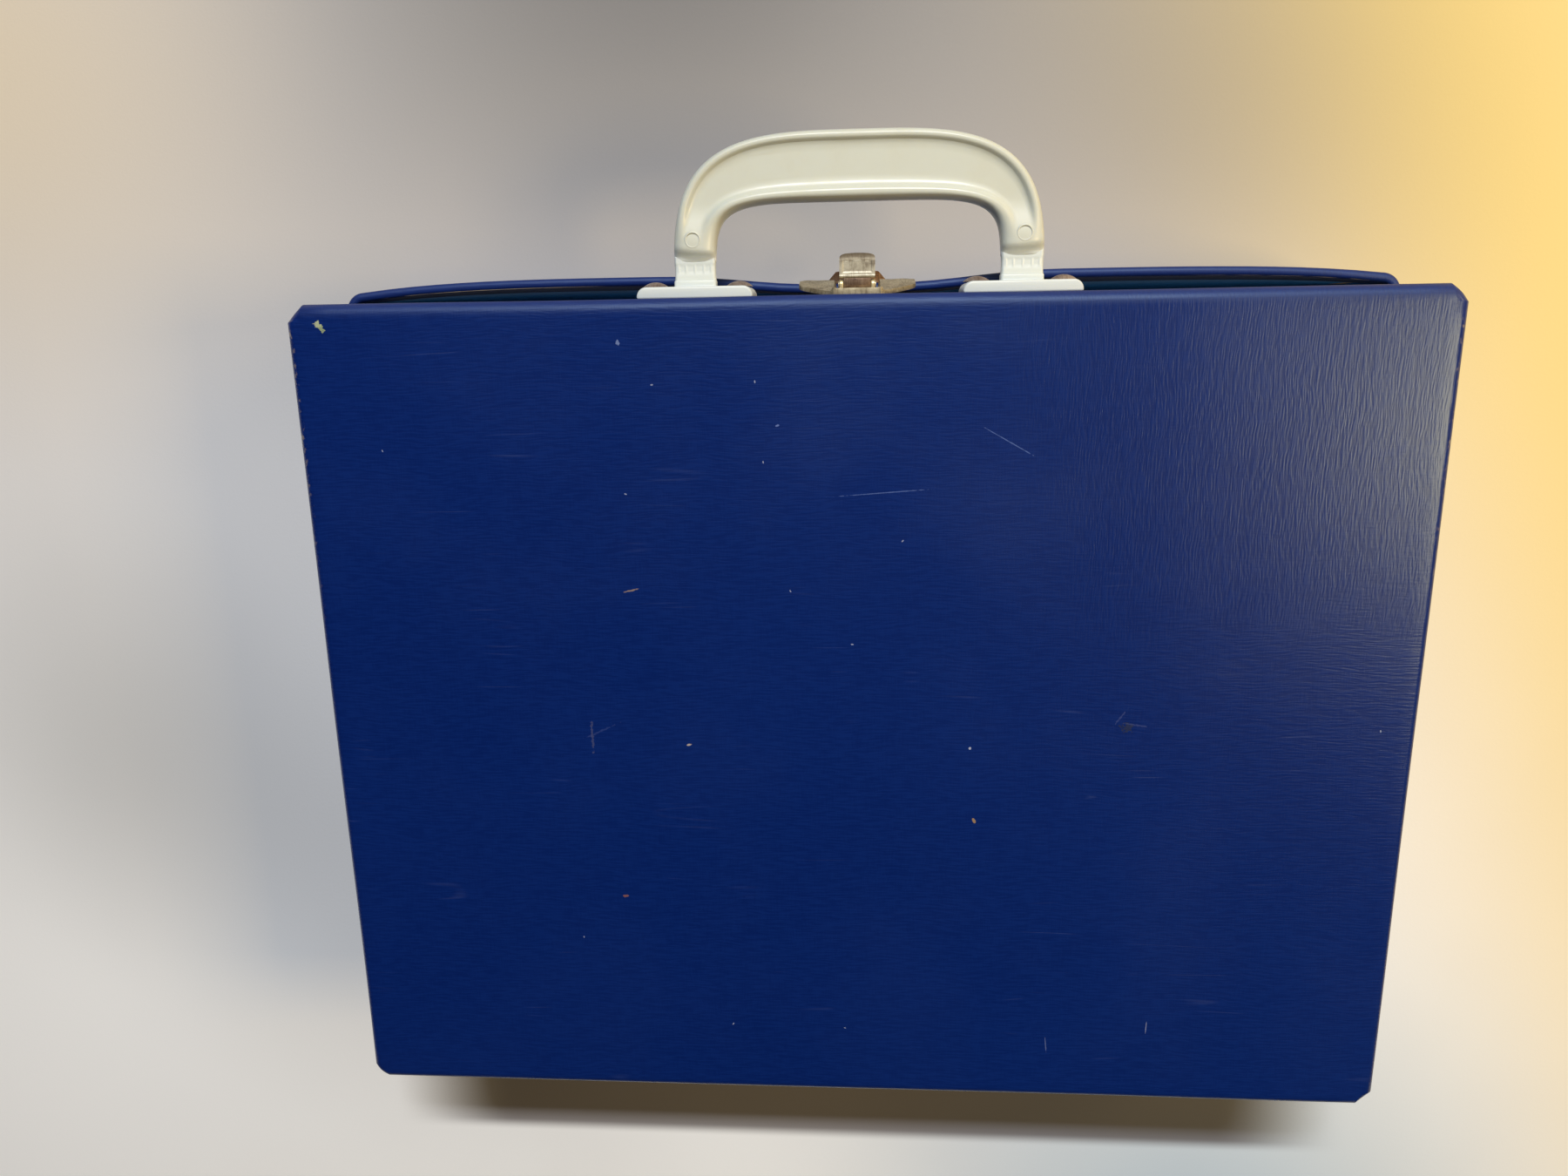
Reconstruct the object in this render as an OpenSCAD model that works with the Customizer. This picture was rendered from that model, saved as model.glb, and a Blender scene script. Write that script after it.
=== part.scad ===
// Vinyl-covered board case for model cars: two shallow halves joined by a vinyl hinge.
// The case lies on its lower half. X runs along the handle, Y points at the handle side
// and Z points up. The origin is the centre of the lower half's outer panel.

/* [Case] */
// Width of the case along the handle
case_w = 330; // [240:1:420]
// Height of the case from the hinge side to the handle side
case_h = 256; // [220:1:330]
// Outer depth of each half
half_depth = 40; // [34:1:60]
// How far the lower half stands proud of the upper one at the handle side
overhang = 4.5; // [3:0.5:6]
// Thickness of the board in the panels and walls
board_t = 2; // [1.5:0.1:3]
// Thickness of the vinyl cover
cover_t = 0.6; // [0.4:0.1:1]
// Thickness of the vinyl lining
lining_t = 0.4; // [0.3:0.1:0.8]
// Radius of the fold where a panel turns into its walls
fold_r = 3; // [2.5:0.1:4]
// Radius of the upright corners of the upper half, and of both halves at the hinge
corner_r = 5; // [4.5:0.5:10]
// Radius of the lower half's two corners at the handle side
flap_corner_r = 6; // [5:0.5:12]
// Gap between the two halves' rims
seam_gap = 0.6; // [0.4:0.1:1]

/* [Flap] */
// How far the lower half's handle-side wall bows out at its rim
bow = 3.2; // [1:0.1:5]
// Half width of the flat stretch under the clasp
bow_flat = 12; // [10:1:20]
// Distance from the centre at which the bow is full
bow_full = 60; // [50:1:100]

/* [Hinge] */
// Thickness of the vinyl hinge strip
hinge_t = 0.8; // [0.5:0.1:1]
// Width of the hinge strip over the two walls
hinge_w = 30; // [20:1:40]
// Distance from the hinge strip's end to the corner's round
hinge_inset = 4; // [2:1:10]

/* [Trays] */
// Columns of car bays in a tray
bay_cols = 3; // [2:1:3]
// Rows of car bays in a tray
bay_rows = 4; // [3:1:4]
// Thickness of the tray's floor and outer wall
tray_t = 1.4; // [1.2:0.1:2]
// Thickness of the dividers between the bays
divider_t = 2; // [1.6:0.1:3]
// Distance from the tray's rim down to the dividers' tops
divider_drop = 1.2; // [0.6:0.1:3]
// Clearance between a tray and the lining around it
tray_gap = 0.5; // [0.3:0.1:1]
// Distance from a tray's rim to the seam
tray_drop = 1.5; // [1:0.5:4]
// Width of the tray's rolled rim
tray_rim = 3; // [2.4:0.1:4]
// Thickness of the tray's rim
rim_t = 1.2; // [1:0.1:2]
// Radius of a bay's corners
bay_r = 4; // [2:0.5:6]
// Radius of the finger scallop in each divider
scallop_r = 13; // [8:1:15]

/* [Handle] */
// Overall width of the handle
handle_w = 108; // [95:1:130]
// Height of the top of the grip above the wall
handle_top = 46; // [40:0.2:55]
// Height of the underside of the grip above the wall
grip_under = 26.5; // [22:0.5:30]
// Width of the gap between the two legs of the grip
finger_gap = 83; // [70:1:83]
// Depth of the rolled rims of the grip
rim_depth = 9.5; // [8:0.5:10]
// Depth of the recessed web of the grip
web_depth = 6.5; // [5:0.5:7]
// Width of the outer rolled rim
outer_rim_w = 3.4; // [2.5:0.1:5]
// Width of the inner rolled rim
inner_rim_w = 4.2; // [2.5:0.1:5]
// Height above the wall at which the grip begins
grip_foot = 10.5; // [10:0.5:14]
// Height over which the grip's legs swell from the straps' thickness to full depth
shoulder_h = 2.4; // [1.5:0.1:4]
// Height above the wall at which the rolled rims have faded out into the legs
fade_h = 15; // [13:0.5:18]
// Width of a flexing strap
strap_w = 12.4; // [10:0.2:13]
// Thickness of a flexing strap
strap_t = 3; // [2:0.1:4]
// Height of the thickened root of each strap on its foot plate
root_h = 1.9; // [1:0.1:2.2]
// Depth of that root
root_d = 4.6; // [4:0.1:6]
// Height of the strap's bending line above the wall
bend_h = 7.6; // [7:0.1:9]
// Clearance at the bending line
bend_gap = 0.2; // [0.1:0.05:0.4]
// Distance from the centre of the case to the centre of a foot plate
foot_x = 47.3; // [46:0.1:49]
// Length of a foot plate
foot_l = 34; // [33:0.5:40]
// Width of a foot plate across the wall
foot_w = 16; // [14:1:20]
// Thickness of a foot plate
foot_t = 3.4; // [2.5:0.1:4]
// Radius of a mould mark on the grip
mark_r = 2.1; // [1.5:0.1:3]
// Height of a mould mark's centre above the wall
mark_h = 16.5; // [15.5:0.5:17]
// Depth of a mould mark
mark_d = 0.3; // [0.2:0.05:0.5]
// Radius of a foot plate's corners
foot_r = 3; // [1:0.5:4]

/* [Rivets] */
// Radius of a handle rivet's head
rivet_head_r = 4; // [3:0.1:5]
// Height of a rivet's domed head
rivet_head_h = 1.6; // [1:0.1:2.5]
// Radius of a rivet's shank
rivet_r = 1.6; // [1:0.1:2]
// Distance of a handle rivet from its strap's centre
rivet_x = 12.5; // [12:0.1:13]
// Radius of a burr washer inside the wall
washer_r = 4.5; // [3.5:0.1:6]
// Thickness of a burr washer
washer_t = 0.5; // [0.3:0.1:0.6]
// Height of a rivet's burred end inside the wall
burr_h = 0.7; // [0.4:0.1:0.9]
// How far a burred end spreads past its shank
burr_w = 0.8; // [0.4:0.1:1]

/* [Clasp] */
// Length of the clasp plate from wing tip to wing tip
plate_l = 35; // [30:1:40]
// Length of the clasp plate's straight front lip
lip_l = 15; // [13:1:18]
// Distance from the front lip to the back of the wings
plate_w = 19; // [17:1:20]
// Sheet thickness of the clasp plate
plate_t = 1.2; // [0.8:0.1:1.4]
// Height of the wings' back edges above the wall
wing_rise = 4; // [1:0.1:5]
// Width of a wing's tip
tip_w = 9; // [7:0.5:10]
// Width of the rolled lip along the plate's front
lip_w = 2.4; // [1.6:0.1:3]
// Height of the rolled lip above the wall
lip_rise = 2.2; // [1.6:0.1:2.4]
// Distance from the upper half's outer panel to the front lip
lip_inset = 15; // [13:0.5:16]
// Width of the clasp lever
lever_w = 10.6; // [10:0.1:11]
// Sheet thickness of the lever
lever_t = 1.1; // [0.8:0.1:1.4]
// Outer radius of the bend at the lever's top
lever_bend = 2.2; // [1.6:0.1:3.5]
// Radius of the roll along the lower edge of the lever's face
roll_r = 0.6; // [0.4:0.1:0.8]
// Height of the top of the lever above the wall
lever_top = 12.3; // [11:0.1:14]
// Radius of the lever's pin
pin_r = 0.9; // [0.7:0.05:1.1]
// Height of the pin above the wall
pin_h = 3.5; // [3.4:0.1:4]
// Distance from the front lip to the pin
pin_back = 10; // [9:0.5:11]
// Radius of the lever's rolled knuckle
knuckle_r = 1.5; // [1.3:0.1:1.7]
// Running clearance around the pin
pin_gap = 0.05; // [0.03:0.01:0.1]
// Thickness of each ear that holds the pin
ear_t = 1.2; // [0.8:0.1:1.4]
// Distance from the centre to a clasp rivet
clasp_rivet_x = 3.9; // [3.9:0.1:4.2]
// Distance from the pin back to the clasp rivets
clasp_rivet_back = 6.4; // [6:0.1:6.6]
// Radius of a clasp rivet's head
clasp_head_r = 1.8; // [1.6:0.1:2.1]
// Height of a clasp rivet's head
clasp_head_h = 1; // [0.6:0.1:1.4]
// How far the plate inside the wall reaches past its rivets
backing_edge = 4; // [3:0.5:5]
// Width of the leaf spring under the lever
leaf_w = 3.6; // [3:0.1:3.6]
// Thickness of the leaf spring
leaf_t = 0.4; // [0.2:0.1:0.5]
// Length of the keeper's pointed boss
keeper_l = 19; // [15:0.5:20]
// Width of the keeper
keeper_w = 9; // [7:0.5:10]
// Height of the keeper's crest above the flap
keeper_h = 3.8; // [3:0.1:4.2]
// Distance from the lower half's rim to the keeper
keeper_drop = 2; // [1.5:0.5:4]
// Thickness of the keeper's edge
keeper_edge = 0.6; // [0.4:0.1:1]
// Length of the keeper's crest as a share of the keeper's
keeper_crest = 0.7; // [0.5:0.05:0.8]
// Clearance between the lever's hook and the keeper
hook_gap = 0.5; // [0.3:0.1:1]

/* [Hidden] */
$fn = 48;

VINYL = [0.07, 0.12, 0.42];
LINING = [0.10, 0.25, 0.50];
BOARD = [0.62, 0.54, 0.40];
CREAM = [0.90, 0.87, 0.72];
IVORY = [0.92, 0.91, 0.83];
NICKEL = [0.62, 0.57, 0.46];
RUST = [0.42, 0.26, 0.17];

fit = 0.05;
overlap = 0.01;
case_d = 2 * half_depth;
wall_t = cover_t + board_t + lining_t;
rim_z = half_depth - seam_gap / 2;
wall_y = case_h / 2;
flap_y = wall_y + overhang;

// A half's outline runs from its hinge side at -wall_y to the handle side at top_y.
// An inset moves all four sides in and shrinks the corners with them.
function side_x(inset) = case_w / 2 - inset;

// Each half is built as a shell that opens upwards, from z = 0 at its outer panel.
module outline(top_y, top_r, inset) {
    x = side_x(inset);
    low = -wall_y + inset;
    high = top_y - inset;
    r_low = corner_r - inset;
    r_top = top_r - inset;
    translate([-x + r_low, low]) square([2 * (x - r_low), r_low]);
    translate([-x, low + r_low]) square([2 * x, high - low - r_low - r_top]);
    translate([-x + r_top, high - r_top]) square([2 * (x - r_top), r_top]);
    for (s = [-1, 1]) {
        translate([s * (x - r_low), low + r_low]) circle(r_low);
        translate([s * (x - r_top), high - r_top]) circle(r_top);
    }
}

// Section of a wall's foot: a quarter round of radius r below a straight stretch.
module fold_section(r, tall) {
    translate([0, r]) square([r, tall - r]);
    intersection() {
        translate([0, r]) circle(r);
        square([r, r]);
    }
}

module corner_fold(x, y, corner, r, tall, turn) {
    translate([x, y, 0]) rotate([0, 0, turn]) rotate_extrude(angle = 90)
        translate([corner - r, 0]) fold_section(r, tall);
}

module side_fold(x, y, long, r, tall, turn) {
    translate([x, y, 0]) rotate([90, 0, turn]) linear_extrude(long) fold_section(r, tall);
}

function fold_at(inset) = max(0.5, fold_r - inset);

// A solid block with the half's outline and a rounded fold all round its lower face.
module block(top_y, top_r, inset, tall) {
    r = fold_at(inset);
    x = side_x(inset);
    low = -wall_y + inset;
    high = top_y - inset;
    r_low = corner_r - inset;
    r_top = top_r - inset;
    linear_extrude(tall) outline(top_y, top_r, inset + r);
    side_fold(x - r, high - r_top, high - low - r_top - r_low, r, tall, 0);
    side_fold(-x + r, low + r_low, high - low - r_top - r_low, r, tall, 180);
    side_fold(-x + r_top, high - r, 2 * (x - r_top), r, tall, 90);
    side_fold(x - r_low, low + r, 2 * (x - r_low), r, tall, -90);
    corner_fold(x - r_top, high - r_top, r_top, r, tall, 0);
    corner_fold(-x + r_top, high - r_top, r_top, r, tall, 90);
    corner_fold(-x + r_low, low + r_low, r_low, r, tall, 180);
    corner_fold(x - r_low, low + r_low, r_low, r, tall, 270);
}

// The layer of a half between two insets, open at the rim.
module layer(top_y, top_r, from, to, tall) {
    difference() {
        translate([0, 0, from]) block(top_y, top_r, from, tall - from);
        translate([0, 0, to]) block(top_y, top_r, to, tall);
    }
}

// The outer vinyl also turns in over the boards' edges at the rim.
module cover_shell(top_y, top_r) {
    layer(top_y, top_r, 0, cover_t, rim_z);
    translate([0, 0, rim_z - cover_t]) linear_extrude(cover_t) difference() {
        outline(top_y, top_r, 0);
        outline(top_y, top_r, wall_t);
    }
}

module lining_shell(top_y, top_r) {
    layer(top_y, top_r, cover_t + board_t, wall_t, rim_z - cover_t);
}

// Boards: one flat sheet in the panel, and strips in the walls between the rounded corners.
module panel_board(top_y, top_r) {
    translate([0, 0, cover_t]) linear_extrude(board_t)
        outline(top_y, top_r, fold_r);
}

module side_board(long) {
    translate([cover_t, -long / 2, fold_r]) cube([board_t, long, rim_z - cover_t - fold_r]);
}

module wall_boards(top_y, top_r) {
    side_l = top_y + wall_y - top_r - corner_r;
    mid_y = (top_y - top_r - wall_y + corner_r) / 2;
    for (s = [0, 180]) rotate([0, 0, s])
        translate([-case_w / 2, s == 0 ? mid_y : -mid_y, 0]) side_board(side_l);
    translate([0, -wall_y, 0]) rotate([0, 0, 90]) side_board(case_w - 2 * corner_r);
}

module handle_side_board(top_y, top_r) {
    translate([0, top_y, 0]) rotate([0, 0, -90]) side_board(case_w - 2 * top_r);
}

// The lower half's handle-side wall bows out towards its rim, on each side of the clasp.
bow_end = case_w / 2 - flap_corner_r;
function ease(t) = let (c = min(1, max(0, t))) c * c * (3 - 2 * c);
function bow_at(x) = bow * ease((abs(x) - bow_flat) / (bow_full - bow_flat))
    * (1 - pow(abs(x) / bow_end, 6));
function bow_share(z) = (z - fold_r) / (rim_z - fold_r);
bow_cols = 28;

// A strip of the bowed wall, swept along X. Its section is a list of [inset, z] points.
// Rising and falling faces are split along the same diagonal, so that layers lie flush.
module bowed_strip(section) {
    n = len(section);
    xs = [for (i = [0 : bow_cols]) bow_end * (2 * i / bow_cols - 1)];
    points = [for (x = xs) for (p = section)
        [x, flap_y - p[0] + bow_at(x) * bow_share(p[1]), p[1]]];
    function at(i, k) = i * n + k % n;
    function rises(k) = section[(k + 1) % n][1] >= section[k][1];
    sides = [for (i = [0 : bow_cols - 1]) for (k = [0 : n - 1]) for (half = [0, 1])
        rises(k) ? (half == 0 ? [at(i, k), at(i + 1, k + 1), at(i + 1, k)]
                              : [at(i, k), at(i, k + 1), at(i + 1, k + 1)])
                 : (half == 0 ? [at(i, k), at(i, k + 1), at(i + 1, k)]
                              : [at(i, k + 1), at(i + 1, k + 1), at(i + 1, k)])];
    first = [[for (k = [n - 1 : -1 : 0]) at(0, k)]];
    last = [[for (k = [0 : n - 1]) at(bow_cols, k)]];
    polyhedron(points, concat(sides, first, last));
}

module bowed_wall(from, to, top_z) {
    bowed_strip([[from, fold_r], [from, top_z], [to, top_z], [to, fold_r]]);
}

// Room taken out of the lower half's shells where the bowed wall goes in.
module flap_room() {
    translate([-bow_end, flap_y - fold_r - wall_t, fold_r])
        cube([2 * bow_end, 2 * (fold_r + wall_t), case_d]);
}

// The upper half is the same construction turned over, with its panel on top.
module turned() {
    translate([0, 0, case_d]) mirror([0, 0, 1]) children();
}

// Holes through a wall for a row of shanks, given their x, height z and radius.
module wall_holes(y, spots, r) {
    for (p = spots) translate([p[0], y - 2 * wall_t, p[1]])
        rotate([-90, 0, 0]) cylinder(r = r, h = 4 * wall_t);
}

strap_z = case_d - half_depth / 2;
handle_rivet_spots = [for (s = [-1, 1]) for (t = [-1, 1]) [s * foot_x + t * rivet_x, strap_z]];
pin_z = case_d - lip_inset - pin_back;
clasp_rivet_spots = [for (s = [-1, 1]) [s * clasp_rivet_x, pin_z - clasp_rivet_back]];
keeper_z = rim_z - keeper_drop - keeper_w / 2;
keeper_spots = [[0, keeper_z]];

module base_panel_board() {
    color(BOARD) panel_board(flap_y, flap_corner_r);
}

module base_wall_boards() {
    color(BOARD) wall_boards(flap_y, flap_corner_r);
}

module flap_board() {
    color(BOARD) difference() {
        bowed_wall(cover_t, cover_t + board_t, rim_z - cover_t);
        wall_holes(flap_y, keeper_spots, rivet_r);
    }
}

module base_cover() {
    color(VINYL) difference() {
        cover_shell(flap_y, flap_corner_r);
        flap_room();
    }
}

module base_lining() {
    color(LINING) difference() {
        lining_shell(flap_y, flap_corner_r);
        flap_room();
    }
}

// The flap's own vinyl runs up its outside and turns in over the board at the rim.
module flap_cover() {
    turn_z = rim_z - cover_t;
    color(VINYL) difference() {
        bowed_strip([[0, fold_r], [0, rim_z], [wall_t, rim_z], [wall_t, turn_z],
                     [cover_t, turn_z], [cover_t, fold_r]]);
        wall_holes(flap_y, keeper_spots, rivet_r);
    }
}

module flap_lining() {
    color(LINING) difference() {
        bowed_wall(cover_t + board_t, wall_t, rim_z - cover_t);
        wall_holes(flap_y, keeper_spots, rivet_r);
    }
}

module lid_panel_board() {
    color(BOARD) turned() panel_board(wall_y, corner_r);
}

module lid_holes(r) {
    wall_holes(wall_y, handle_rivet_spots, r);
    wall_holes(wall_y, clasp_rivet_spots, r);
}

module lid_wall_boards() {
    color(BOARD) difference() {
        turned() {
            wall_boards(wall_y, corner_r);
            handle_side_board(wall_y, corner_r);
        }
        lid_holes(rivet_r);
    }
}

module lid_cover() {
    color(VINYL) difference() {
        turned() cover_shell(wall_y, corner_r);
        lid_holes(rivet_r);
    }
}

module lid_lining() {
    color(LINING) difference() {
        turned() lining_shell(wall_y, corner_r);
        lid_holes(rivet_r);
    }
}

module hinge_strip() {
    long = case_w - 2 * (corner_r + hinge_inset);
    color(VINYL) translate([-long / 2, -wall_y - hinge_t, half_depth - hinge_w / 2])
        cube([long, hinge_t, hinge_w]);
}

// Trays stand on the lining. The rim clears the rivets' burred ends at the handle side.
rivet_room = washer_t + 2 * burr_h;
tray_x = case_w / 2 - wall_t - tray_gap;
tray_low = -wall_y + wall_t + tray_gap;
tray_high = wall_y - wall_t - tray_gap - rivet_room;
tray_top = half_depth - tray_drop;
tray_inset = tray_rim - tray_t;
floor_z = wall_t + tray_t;
bays_x = tray_x - tray_rim;
bays_low = tray_low + tray_rim;
bays_high = tray_high - tray_rim;
bay_w = (2 * bays_x - (bay_cols - 1) * divider_t) / bay_cols;
bay_h = (bays_high - bays_low - (bay_rows - 1) * divider_t) / bay_rows;
function bay_x(i) = -bays_x + i * (bay_w + divider_t);
function bay_y(j) = bays_low + j * (bay_h + divider_t);

module rounded(x0, y0, x1, y1, r) {
    translate([x0 + r, y0]) square([x1 - x0 - 2 * r, y1 - y0]);
    translate([x0, y0 + r]) square([x1 - x0, y1 - y0 - 2 * r]);
    for (x = [x0 + r, x1 - r]) for (y = [y0 + r, y1 - r]) translate([x, y]) circle(r);
}

// An open moulded tray with a rim that turns outwards.
module tray() {
    difference() {
        union() {
            translate([0, 0, wall_t]) linear_extrude(tray_top - wall_t)
                rounded(-tray_x + tray_inset, tray_low + tray_inset, tray_x - tray_inset,
                        tray_high - tray_inset, bay_r + tray_t);
            translate([0, 0, tray_top - rim_t]) linear_extrude(rim_t)
                rounded(-tray_x, tray_low, tray_x, tray_high, bay_r + tray_rim);
        }
        translate([0, 0, floor_z]) linear_extrude(tray_top)
            rounded(-bays_x, bays_low, bays_x, bays_high, bay_r);
    }
}

// The grid of dividers in a tray. Each one between two rows has a round finger scallop.
module dividers() {
    tall = tray_top - divider_drop - floor_z;
    for (i = [1 : bay_cols - 1])
        translate([bay_x(i) - divider_t, bays_low, floor_z])
            cube([divider_t, bays_high - bays_low, tall]);
    for (i = [0 : bay_cols - 1]) for (j = [1 : bay_rows - 1])
        translate([bay_x(i), bay_y(j) - divider_t, floor_z]) difference() {
            cube([bay_w, divider_t, tall]);
            translate([bay_w / 2, -divider_t, tall]) rotate([-90, 0, 0])
                cylinder(r = scallop_r, h = 3 * divider_t);
        }
}

module base_tray() {
    color(CREAM) tray();
}

module base_dividers() {
    color(CREAM) dividers();
}

module lid_tray() {
    color(CREAM) turned() tray();
}

module lid_dividers() {
    color(CREAM) turned() dividers();
}

// Handle. Heights h are measured from the upper half's wall. The grip is lofted between
// an outer and an inner arch, each a superellipse above its spring height.
outer_power = 3.45;
inner_power = 5.8;
outer_spring = 1;
inner_spring = 0;
arch_steps = 56;
bead_steps = 5;
strap_x = (handle_w + finger_gap) / 4;

// Points of an arch from its left foot to its right foot.
function arch(half_w, top, power, spring) =
    let (low = max(0, grip_foot - spring) / (top - spring),
         foot = half_w * pow(1 - pow(low, power), 1 / power),
         bow = [for (i = [0 : arch_steps])
             let (a = 180 * (1 - i / arch_steps), c = cos(a), s = sin(a))
             [half_w * sign(c) * pow(abs(c), 2 / power),
              spring + (top - spring) * pow(abs(s), 2 / power)]])
    concat([[-foot, grip_foot]], [for (p = bow) if (p[1] > grip_foot) p], [[foot, grip_foot]]);

// Lengths along a line of points, and the points spaced evenly along it.
function runs(p) = [for (i = 0, s = 0; i < len(p);
    s = s + (i + 1 < len(p) ? norm(p[i + 1] - p[i]) : 0), i = i + 1) s];
function even(p) = let (s = runs(p), whole = s[len(s) - 1],
        xs = [for (i = [0 : len(p) - 1]) [s[i] + i * 1e-7, p[i][0]]],
        ys = [for (i = [0 : len(p) - 1]) [s[i] + i * 1e-7, p[i][1]]])
    [for (i = [0 : arch_steps]) [lookup(whole * i / arch_steps, xs), lookup(whole * i / arch_steps, ys)]];

// Half the grip's depth at distance d from the inner edge, where it is w wide in all:
// half ellipses for the two rolled rims, and a flat web between them. Towards its feet
// a leg turns into a plain cushion, on which the rims have faded out.
function round_at(a) = sqrt(max(0, 1 - a * a));
function rim_half(a) = a < 0 ? rim_depth / 2 * round_at(a)
    : web_depth / 2 + (rim_depth - web_depth) / 2 * round_at(min(1, a));
function grip_half(d, w) = d < w / 2 ? rim_half(2 * d / inner_rim_w - 1)
    : rim_half(2 * (w - d) / outer_rim_w - 1);
function cushion_half(d, w) =
    rim_depth / 2 * pow(max(0, 1 - pow(abs(2 * d / w - 1), 3)), 1 / 3);
function fade(h) = ease((h - fade_h) / (grip_under - fade_h));
function loft_half(d, w, h) =
    cushion_half(d, w) * (1 - fade(h)) + grip_half(d, w) * fade(h);
function shoulder(h) = let (foot = strap_t / rim_depth)
    foot + (1 - foot) * ease((h - grip_foot) / shoulder_h);

module handle_loft() {
    outer = even(arch(handle_w / 2, handle_top, outer_power, outer_spring));
    inner = even(arch(finger_gap / 2, grip_under, inner_power, inner_spring));
    spread = [for (k = [0 : 2 * bead_steps]) (1 - cos(90 * k / bead_steps)) / 2];
    n = 4 * bead_steps + 2;
    front = [for (i = [0 : arch_steps]) let (w = norm(outer[i] - inner[i]))
        [for (k = [0 : n - 1]) let (d = k <= 2 * bead_steps ? inner_rim_w * spread[k]
                : w - outer_rim_w * spread[n - 1 - k], p = inner[i] + (outer[i] - inner[i]) * d / w)
            [p[0], p[1], loft_half(d, w, p[1]) * shoulder(min(inner[i][1], outer[i][1]))]]];
    ring = 2 * n - 2;
    points = [for (row = front) for (k = [0 : ring - 1])
        k < n ? row[k] : [row[ring - k][0], row[ring - k][1], -row[ring - k][2]]];
    function at(i, k) = i * ring + k % ring;
    skin = [for (i = [0 : arch_steps - 1]) for (k = [0 : ring - 1]) for (half = [0, 1])
        half == 0 ? [at(i, k), at(i, k + 1), at(i + 1, k + 1)] : [at(i, k), at(i + 1, k + 1), at(i + 1, k)]];
    function strip(i, k) = [[at(i, k), at(i, ring - k), at(i, k + 1)],
                            [at(i, k + 1), at(i, ring - k), at(i, ring - k - 1)]];
    cap = concat([[0, ring - 1, 1]], [for (k = [1 : n - 3]) for (t = strip(0, k)) t],
                 [[n - 2, n, n - 1]]);
    last = [for (t = cap) [for (v = [2, 1, 0]) arch_steps * ring + t[v]]];
    polyhedron(points, concat(skin, cap, last));
}

module handle_grip() {
    color(IVORY) translate([0, wall_y, strap_z]) difference() {
        union() {
            handle_loft();
            for (s = [-1, 1]) translate([s * strap_x - strap_w / 2, bend_h, 0]) {
                translate([0, 0, -strap_t / 2]) cube([strap_w, grip_foot + 1 - bend_h, strap_t]);
                rotate([0, 90, 0]) cylinder(d = strap_t, h = strap_w);
            }
        }
        for (s = [-1, 1]) for (z = [-1, 1])
            translate([s * strap_x, mark_h, z * rim_depth / 2])
                cylinder(r = mark_r, h = mark_d * 2, center = true);
    }
}

// A foot plate with rounded ends, and the stub of the strap that rises from it.
module handle_foot(s) {
    color(IVORY) difference() {
        translate([s * foot_x, wall_y, strap_z]) {
            rotate([-90, 0, 0]) linear_extrude(foot_t)
                rounded(-foot_l / 2, -foot_w / 2, foot_l / 2, foot_w / 2, foot_r);
            translate([s * (strap_x - foot_x) - strap_w / 2, foot_t - overlap, -strap_t / 2])
                cube([strap_w, bend_h - strap_t / 2 - bend_gap - foot_t + overlap, strap_t]);
            translate([s * (strap_x - foot_x) - strap_w / 2, foot_t - overlap, -root_d / 2])
                cube([strap_w, root_h + overlap, root_d]);
        }
        wall_holes(wall_y + wall_t, handle_rivet_spots, rivet_r);
    }
}

module handle_foot_left() {
    handle_foot(-1);
}

module handle_foot_right() {
    handle_foot(1);
}

// A rivet with a domed head at height top_h above the wall and a burred end inside.
module dome(r, h) {
    sphere_r = (r * r + h * h) / (2 * h);
    rotate([-90, 0, 0]) intersection() {
        translate([0, 0, h - sphere_r]) sphere(r = sphere_r);
        cylinder(r = 2 * r, h = 2 * h);
    }
}

module shank(inner, top_h) {
    translate([0, -inner - burr_h, 0]) rotate([-90, 0, 0]) {
        cylinder(r = rivet_r, h = inner + burr_h + top_h);
        cylinder(r = rivet_r + burr_w, h = burr_h);
    }
}

module rivet(x, z, y, top_h, inner, head_r, head_h) {
    translate([x, y, z]) {
        translate([0, top_h, 0]) dome(head_r, head_h);
        shank(inner, top_h + overlap);
    }
}

module washer(x, z, y) {
    translate([x, y - wall_t - washer_t, z]) rotate([-90, 0, 0]) difference() {
        cylinder(r = washer_r, h = washer_t);
        translate([0, 0, -washer_t]) cylinder(r = rivet_r, h = 3 * washer_t);
    }
}

module handle_rivets() {
    color(RUST) for (p = handle_rivet_spots)
        rivet(p[0], p[1], wall_y, foot_t, wall_t + washer_t, rivet_head_r, rivet_head_h);
}

module handle_washers() {
    color(NICKEL) for (p = handle_rivet_spots) washer(p[0], p[1], wall_y);
}

// Clasp plate: a flat middle with a straight front lip, and two wings that sweep back
// and slope up off the wall towards their back edges.
slab_l = 1;
plate_front = case_d - lip_inset;
plate_back = plate_front - plate_w;
ear_x = (lever_w - ear_t) / 2;
flat_x = max(ear_x + ear_t, clasp_rivet_x + clasp_head_r + fit);
root_x = flat_x + slab_l / 2 + plate_t;

// A rib of the plate across its width, from its back edge to z, sloping by a given rise.
module plate_rib(x, z, rise) {
    function at(q) = rise * (plate_front - q) / plate_w;
    translate([x - slab_l / 2, 0, 0]) rotate([90, 0, 90]) linear_extrude(slab_l)
        polygon([[at(z), z], [at(plate_back), plate_back],
                 [at(plate_back) + plate_t, plate_back], [at(z) + plate_t, z]]);
}

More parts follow.
